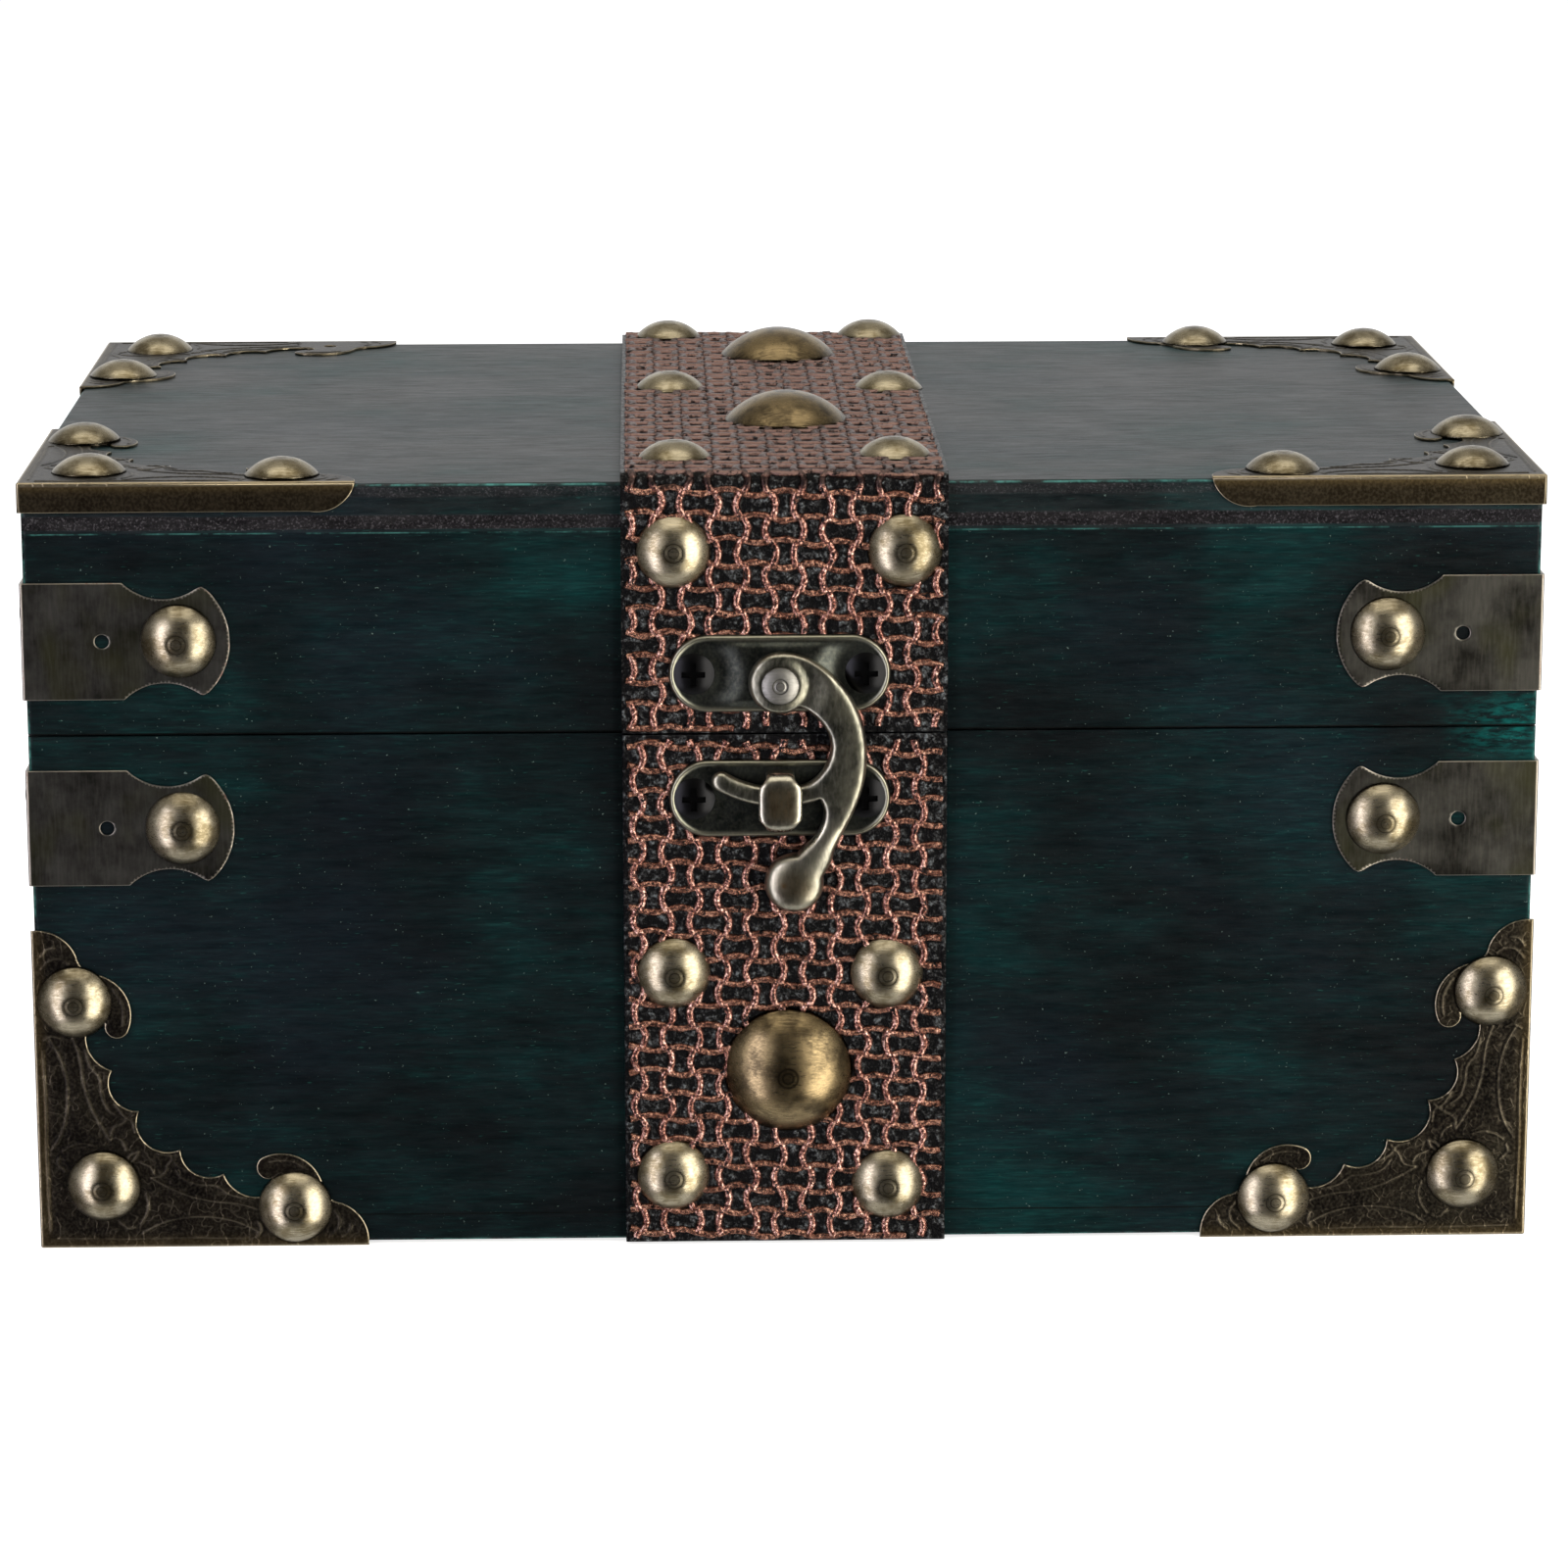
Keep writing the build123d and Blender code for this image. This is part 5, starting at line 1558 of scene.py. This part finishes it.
small_dome = turned_dome(
    "small_dome", radius=5.75 * MM, rise=SMALL_RISE, shank=1.5 * MM, length=7 * MM,
    ring_radius=1.25 * MM, ring_depth=0.07 * MM,
)
large_dome = turned_dome(
    "large_dome", radius=10 * MM, rise=LARGE_RISE, shank=2 * MM, length=8 * MM,
    ring_radius=1.5 * MM, ring_depth=0.06 * MM,
)
set_nails(
    ("lid_corner_nails", "body_corner_nails", "lid_clip_nails", "body_clip_nails",
     "lid_strap_nails", "body_strap_nails"),
    small_dome, SMALL_RISE, small_brass, radians(2.2), 2.4 * MM,
)
set_nails(
    ("lid_strap_large_nails", "body_strap_large_nail"),
    large_dome, LARGE_RISE, large_brass, radians(1.5), 5 * MM,
)

# %% [markdown]
# ## Swing latch
#
# The latch is die-cast zinc with an antique bronze plating: soft, rounded and worn bright on
# every raised edge. A flat extrusion can't show that. So each piece takes its outline from the
# back of the CAD piece, fills it with small triangles, and lifts every point by a rule: a round
# profile across the arm, a bead along a plate's rim, a swelling between the screws. The rules'
# wear values also paint highlights along the arm's edges and tail and on the plates' beads.

# %% The outline of a casting
def back_outline(node):
    """The flat back of a node as points across the front and pairs of them, and its level."""
    shell = welded(node)
    level = max(v.co.y for v in shell.verts)
    behind = [f for f in shell.faces if f.normal.y > 0.999]
    flat = {f for f in behind if f.calc_center_median().y > level - 0.01 * MM}
    edges = [e for e in shell.edges if sum(f in flat for f in e.link_faces) == 1]
    _, outline, pairs = flat_outline(edges, Vector((1, 0, 0)), Vector((0, 0, 1)))
    shell.free()
    return outline, pairs, level


def outer_loop(outline, pairs):
    """The pairs that make the outer edge, without the edges of holes."""
    group = list(range(len(outline)))

    def root(i):
        while group[i] != i:
            i = group[i]
        return i

    for a, b in pairs:
        group[root(a)] = root(b)
    roots = np.array([root(i) for i in range(len(outline))])
    widest = max(set(roots), key=lambda r: np.ptp(outline[roots == r][:, 0]))
    return pairs[roots[pairs[:, 0]] == widest]


print("points in the arm's outline:", len(back_outline("latch_arm")[0]))


# %% A round swelling inside any outline
def inflated(points, triangles, held):
    """How a film held at its outline would swell: as round as a tube on any width."""
    count = len(points)
    starts, ends, pulls, load = [], [], [], np.zeros(count)
    for turn in range(3):
        i, j, k = np.roll(triangles, turn, axis=1).T
        a, b = points[i] - points[k], points[j] - points[k]
        double_area = np.maximum(np.abs(a[:, 0] * b[:, 1] - a[:, 1] * b[:, 0]), 1e-6)
        starts.append(i)
        ends.append(j)
        pulls.append((a * b).sum(1) / double_area / 2)
        load += np.bincount(i, double_area / 6, count)
    starts, ends, pulls = map(np.concatenate, (starts, ends, pulls))

    def tension(values):
        across = pulls * (values[starts] - values[ends])
        total = np.bincount(starts, across, count) - np.bincount(ends, across, count)
        return np.where(held, 0, total)

    # Conjugate gradients: each round corrects the swelling along a fresh direction
    swell = np.zeros(count)
    rest = np.where(held, 0, load)
    way, size = rest.copy(), rest @ rest
    for _ in range(400):
        pulled = tension(way)
        step = size / (way @ pulled)
        swell += step * way
        rest -= step * pulled
        new_size = rest @ rest
        if new_size < 1e-12:
            break
        way, size = rest + new_size / size * way, new_size
    return np.sqrt(2 * np.clip(swell, 0, None))


print("swelling ready")


# %% Lifting an outline into a casting
def casting(node, rule, material, body, grow=None):
    """A closed piece on a node's outline, raised by a rule, with the rule's wear, painted
    highlights and browning.
    """
    name, spacing = f"{node}_cast", 0.24 * MM
    outline, pairs, level = back_outline(node)
    outer = outer_loop(outline, pairs)
    if grow is not None:
        outward = np.zeros_like(outline)
        for a, b in outer:
            run = outline[b] - outline[a]
            side = np.array((-run[1], run[0])) / np.hypot(*run)
            middle = (outline[a] + outline[b]) / 2 + side * 0.02 * MM
            if inside(middle[None], outline[pairs[:, 0]], outline[pairs[:, 1]])[0]:
                side = -side
            outward[[a, b]] += side
        length = np.maximum(np.hypot(*outward.T), 0.5)
        outline = outline + outward / length[:, None] * (grow(outline / MM) * MM)[:, None]
    points, triangles, *_ = fill_face(outline, pairs, spacing, spacing, inset=0.12 * MM)
    gap = distance_to(points, outline[outer[:, 0]], outline[outer[:, 1]]) / MM
    # The outline is held down, and so are points that no triangle uses
    held = (gap < 0.002) | (np.bincount(triangles.ravel(), minlength=len(points)) == 0)
    swell = inflated(points / MM, triangles, held)
    height, wear_and_highlight, browned_and_fold_reflection = rule(points / MM, gap, swell)
    a, b, c = (points[triangles[:, i]] for i in range(3))
    turned = (b[:, 0] - a[:, 0]) * (c[:, 1] - a[:, 1]) - (b[:, 1] - a[:, 1]) * (c[:, 0] - a[:, 0])
    triangles[turned < 0] = triangles[turned < 0][:, ::-1]
    count = len(points)
    verts = [(x, level - h * MM, z) for (x, z), h in zip(points, height)]
    verts += [(x, level, z) for x, z in points]
    faces = [tuple(t) for t in triangles.tolist()]
    directed = {(f[i], f[(i + 1) % 3]) for f in faces for i in range(3)}
    faces += [tuple(i + count for i in reversed(f)) for f in faces]
    faces += [(b, a, a + count, b + count) for a, b in directed if (b, a) not in directed]
    mesh = bpy.data.meshes.new(name)
    mesh.from_pydata(verts, [], faces)
    for label, values in (("wear_and_highlight", wear_and_highlight), ("browned_and_fold_reflection", browned_and_fold_reflection)):
        both_sides = np.concatenate((values, np.zeros(count)))
        mesh.attributes.new(label, "FLOAT", "POINT").data.foreach_set("value", both_sides)
    mesh.shade_smooth()
    mesh.set_sharp_from_angle(angle=radians(62))
    mesh.materials.append(material)
    piece = shown(name, mesh)
    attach(piece, body)
    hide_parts(node)
    print(name, "faces", len(faces), "height mm", round(float(height.max()), 2))


print("casting ready")


# %% Profiles that the rules are made of
def round_edge(gap, reach):
    """A quarter of an ellipse: 0 at the outline, 1 from reach inwards."""
    return np.sqrt(1 - (1 - np.clip(gap / reach, 0, 1)) ** 2)


def bump_at(value, middle, spread):
    """A smooth hump of height 1."""
    return np.exp(-(((value - middle) / spread) ** 2))


def ease(value, low, high):
    """0 below low, 1 above high and smooth between."""
    t = np.clip((value - low) / (high - low), 0, 1)
    return t * t * (3 - 2 * t)


print("half way up a rise:", ease(0.5, 0, 1))

# %% Rules for the arm and the plates
# Places on the latch are in millimetres: across the front first, then up
rivet_low, rivet_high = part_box("latch_rivet")
rivet_at = np.array(((rivet_low.x + rivet_high.x) / 2, (rivet_low.z + rivet_high.z) / 2)) / MM
arm_reach, screw_reach = 17.65, 13.1
thumb_at = rivet_at + arm_reach * np.array((0.12, -1.76))


def arm_growth(points):
    """Casting leaves the arm a little fuller than its drawing, most of all at the neck."""
    from_rivet = np.hypot(*(points - rivet_at).T)
    from_neck = np.hypot(*(points - thumb_at - (3.0, 4.2)).T)
    return 0.20 + 0.22 * ease(from_rivet, 4.0, 8.0) + 0.55 * bump_at(from_neck, 0, 2.2)


def arm_rule(points, gap, swell):
    """A rounded arm, an eye like a washer and a thumb piece like a drop."""
    from_rivet = np.hypot(*(points - rivet_at).T)
    from_thumb = np.hypot(*(points - thumb_at).T)
    arm = 0.30 + 1.60 * np.tanh(swell / 1.75)
    eye = 0.30 + 1.25 * round_edge(gap, 0.75) - 0.42 * ease(from_rivet, 2.9, 4.6)
    share = ease(from_rivet, 4.4, 8.4)
    height = eye * (1 - share) + arm * share
    # The hump of the thumb piece is a drop that runs out along the arm's tail
    along = (points - thumb_at) @ (0.58, 0.81)
    beside = np.maximum(from_thumb**2 - along**2, 0)
    drop = np.sqrt(beside + (along * np.where(along > 0, 0.5, 1)) ** 2)
    height += 1.10 * np.clip(1 - (drop / 5.6) ** 2, 0, 1) ** 1.3
    from_tail = np.hypot(*(points - thumb_at - (3.2, 7.0)).T)
    # The edges, a ring round the thumb and the tail above it are lighter: rubbed, and partly
    # painted highlights
    wear_and_highlight = 0.26 * bump_at(gap, 0.35, 0.24) + 0.14 * bump_at(from_thumb, 3.4, 0.9)
    wear_and_highlight += 0.34 * bump_at(from_tail, 0, 3.6)
    # The thumb piece is browned in its middle, and a little pit beside it is darker still
    from_pit = np.hypot(*(points - thumb_at - (-1.6, 0.1)).T)
    browned_and_fold_reflection = 0.55 * bump_at(from_thumb, 0.6, 2.2) + 0.9 * bump_at(from_pit, 0, 0.38)
    return height, wear_and_highlight, np.clip(browned_and_fold_reflection, 0, 1)


def plate_rule(drop, swelling):
    """A rule for a screw plate: a beaded rim and a swelling between the two screws."""
    middle = rivet_at + (0, drop)

    def rule(points, gap, _):
        screws = [middle + (side * screw_reach, 0) for side in (-1, 1)]
        from_screw = np.minimum(*(np.hypot(*(points - at).T) for at in screws))
        raised = ease(from_screw, 4.2, 8.6) * ease(gap, 0.4, 2.2)
        bead = bump_at(gap, 0.5, 0.28)
        height = 0.40 + 0.40 * round_edge(gap, 0.45) + 0.26 * bead * (1 - 0.5 * raised)
        dish = 0.06 * ease(from_screw, 3.2, 4.2) * ease(gap, 0.8, 2.0) * (1 - raised)
        # The bead is lighter: rubbed, and a painted highlight
        wear_and_highlight = 0.55 * bead
        return height + swelling * raised - dish, wear_and_highlight, np.zeros(len(points))

    return rule


print("thumb piece at, in mm", thumb_at.round(2))

# %% The three castings
lid_plate_drop, keeper_plate_drop = 1.2, -18.2
casting("latch_arm", arm_rule, latch_bronze, "arm", grow=arm_growth)
casting("latch_plate", plate_rule(lid_plate_drop, 0.9), plate_bronze, "lid")
casting("keeper_plate", plate_rule(keeper_plate_drop, 0.25), plate_bronze, "box")

# %% [markdown]
# The keeper's loop is a bar that two legs hold off the plate. A rounded section is carried along
# the loop's path and narrows towards the legs, so that from the front the bar looks like a small
# cushion. Its rim is rubbed silvery and painted with a highlight, and its middle has gone brown.

# %% The loop's path
# In millimetres, up from the plate's middle and out from the board's face
leg_z, corner_z, corner_out, corner_radius = -3.95, -2.55, 4.85, 1.4
bar_out, bar_crown = 6.25, 0.05
loop_path = [(leg_z, 0.3), (leg_z, 2.5)]
for degrees in range(0, 91, 15):
    along, out = corner_radius * cos(radians(degrees)), corner_radius * sin(radians(degrees))
    loop_path.append((corner_z - along, corner_out + out))
loop_path += [(z, bar_out + bar_crown * (1 - (z / corner_z) ** 2)) for z in (-1.7, -0.85)]
loop_path += [(0.0, bar_out + bar_crown)] + [(-z, out) for z, out in reversed(loop_path)]
print("points along the loop:", len(loop_path))

# %% The keeper's loop
loop_middle = rivet_at + (0, keeper_plate_drop)
strap_mm = 1.5
ring_size = 28
loop_verts, loop_wear_and_highlight, loop_brown = [], [], []
for number, (z, out) in enumerate(loop_path):
    before = loop_path[max(number - 1, 0)]
    after = loop_path[min(number + 1, len(loop_path) - 1)]
    run = np.array((after[0] - before[0], after[1] - before[1]))
    run /= np.hypot(*run)
    normal = np.array((-run[1], run[0]))
    half_wide = 3.3 - 1.15 * ease(abs(z), 2.2, 3.95)
    half_thick = 0.70 - 0.13 * ease(out, 5.6, 4.4)
    for turn in range(ring_size):
        angle = 2 * pi * turn / ring_size
        wide = abs(cos(angle)) ** 0.6 * (1 if cos(angle) > 0 else -1)
        thick = abs(sin(angle)) ** 0.85 * (1 if sin(angle) > 0 else -1)
        spot = np.array((z, out)) + normal * half_thick * thick
        x, z_up = (loop_middle[0] + half_wide * wide) * MM, (loop_middle[1] + spot[0]) * MM
        loop_verts.append((x, strap_low.y + (strap_mm - spot[1]) * MM, z_up))
        edge = max(abs(wide), min(1.0, abs(z) / 4.0))
        front = 1.0 if thick > 0.2 and out > 5.0 else 0.0
        # The front rim is rubbed and painted with a highlight
        loop_wear_and_highlight.append(0.55 * front * float(bump_at(edge, 0.98, 0.20)))
        loop_brown.append(0.75 * front * float(1 - ease(edge, 0.25, 0.95)))
loop_faces, last_ring = [], (len(loop_path) - 1) * ring_size
for ring_start in range(0, last_ring, ring_size):
    for turn in range(ring_size):
        a, b = ring_start + turn, ring_start + (turn + 1) % ring_size
        loop_faces.append((a, b, b + ring_size, a + ring_size))
loop_faces += [tuple(reversed(range(ring_size))), tuple(range(last_ring, len(loop_verts)))]
loop_mesh = bpy.data.meshes.new("keeper_loop_cast")
loop_mesh.from_pydata(loop_verts, [], loop_faces)
for label, values in (("wear_and_highlight", loop_wear_and_highlight), ("browned_and_fold_reflection", loop_brown)):
    loop_mesh.attributes.new(label, "FLOAT", "POINT").data.foreach_set("value", values)
loop_shell = bmesh.new()
loop_shell.from_mesh(loop_mesh)
bmesh.ops.recalc_face_normals(loop_shell, faces=loop_shell.faces)
loop_shell.to_mesh(loop_mesh)
loop_shell.free()
loop_mesh.shade_smooth()
loop_mesh.materials.append(latch_bronze)
loop = shown("keeper_loop_cast", loop_mesh)
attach(loop, "box")
print("loop points", len(loop_verts))

# %% [markdown]
# The rivet that the arm swings on is plain steel. Its button head was set with a hollow punch,
# which left rings on it.

# %% Rivet
rivet_steel = nail_brass(
    "punched_rivet_steel", "#9b9993", "#77746d", "#34322e", 0.3, ring=0.40, smooth=0.32, rim=0.75
)
head_wall, head_rise = 0.75 * MM, 0.55 * MM
rivet_head = turned_dome(
    "rivet_head", radius=2.85 * MM, rise=head_rise, shank=1.8 * MM, length=3.75 * MM,
    ring_radius=0.95 * MM, ring_depth=0.09 * MM, wall=head_wall,
)
head_foot = Vector((rivet_at[0] * MM, rivet_low.y + head_wall + head_rise, rivet_at[1] * MM))
rivet_head.transform(Matrix.Translation(head_foot) @ Matrix.Rotation(pi / 2, 4, "X"))
rivet_head.materials.append(rivet_steel)
rivet = shown("latch_rivet_punched", rivet_head)
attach(rivet, "lid")
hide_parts("latch_rivet")
print("rivet from, in mm", [round(v / MM, 2) for v in rivet_low])

# %% Finish
size = {
    "cad": [list(v) for v in cad_bounds],
    "visual": [list(v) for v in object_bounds()],
}
print("sizes", size)
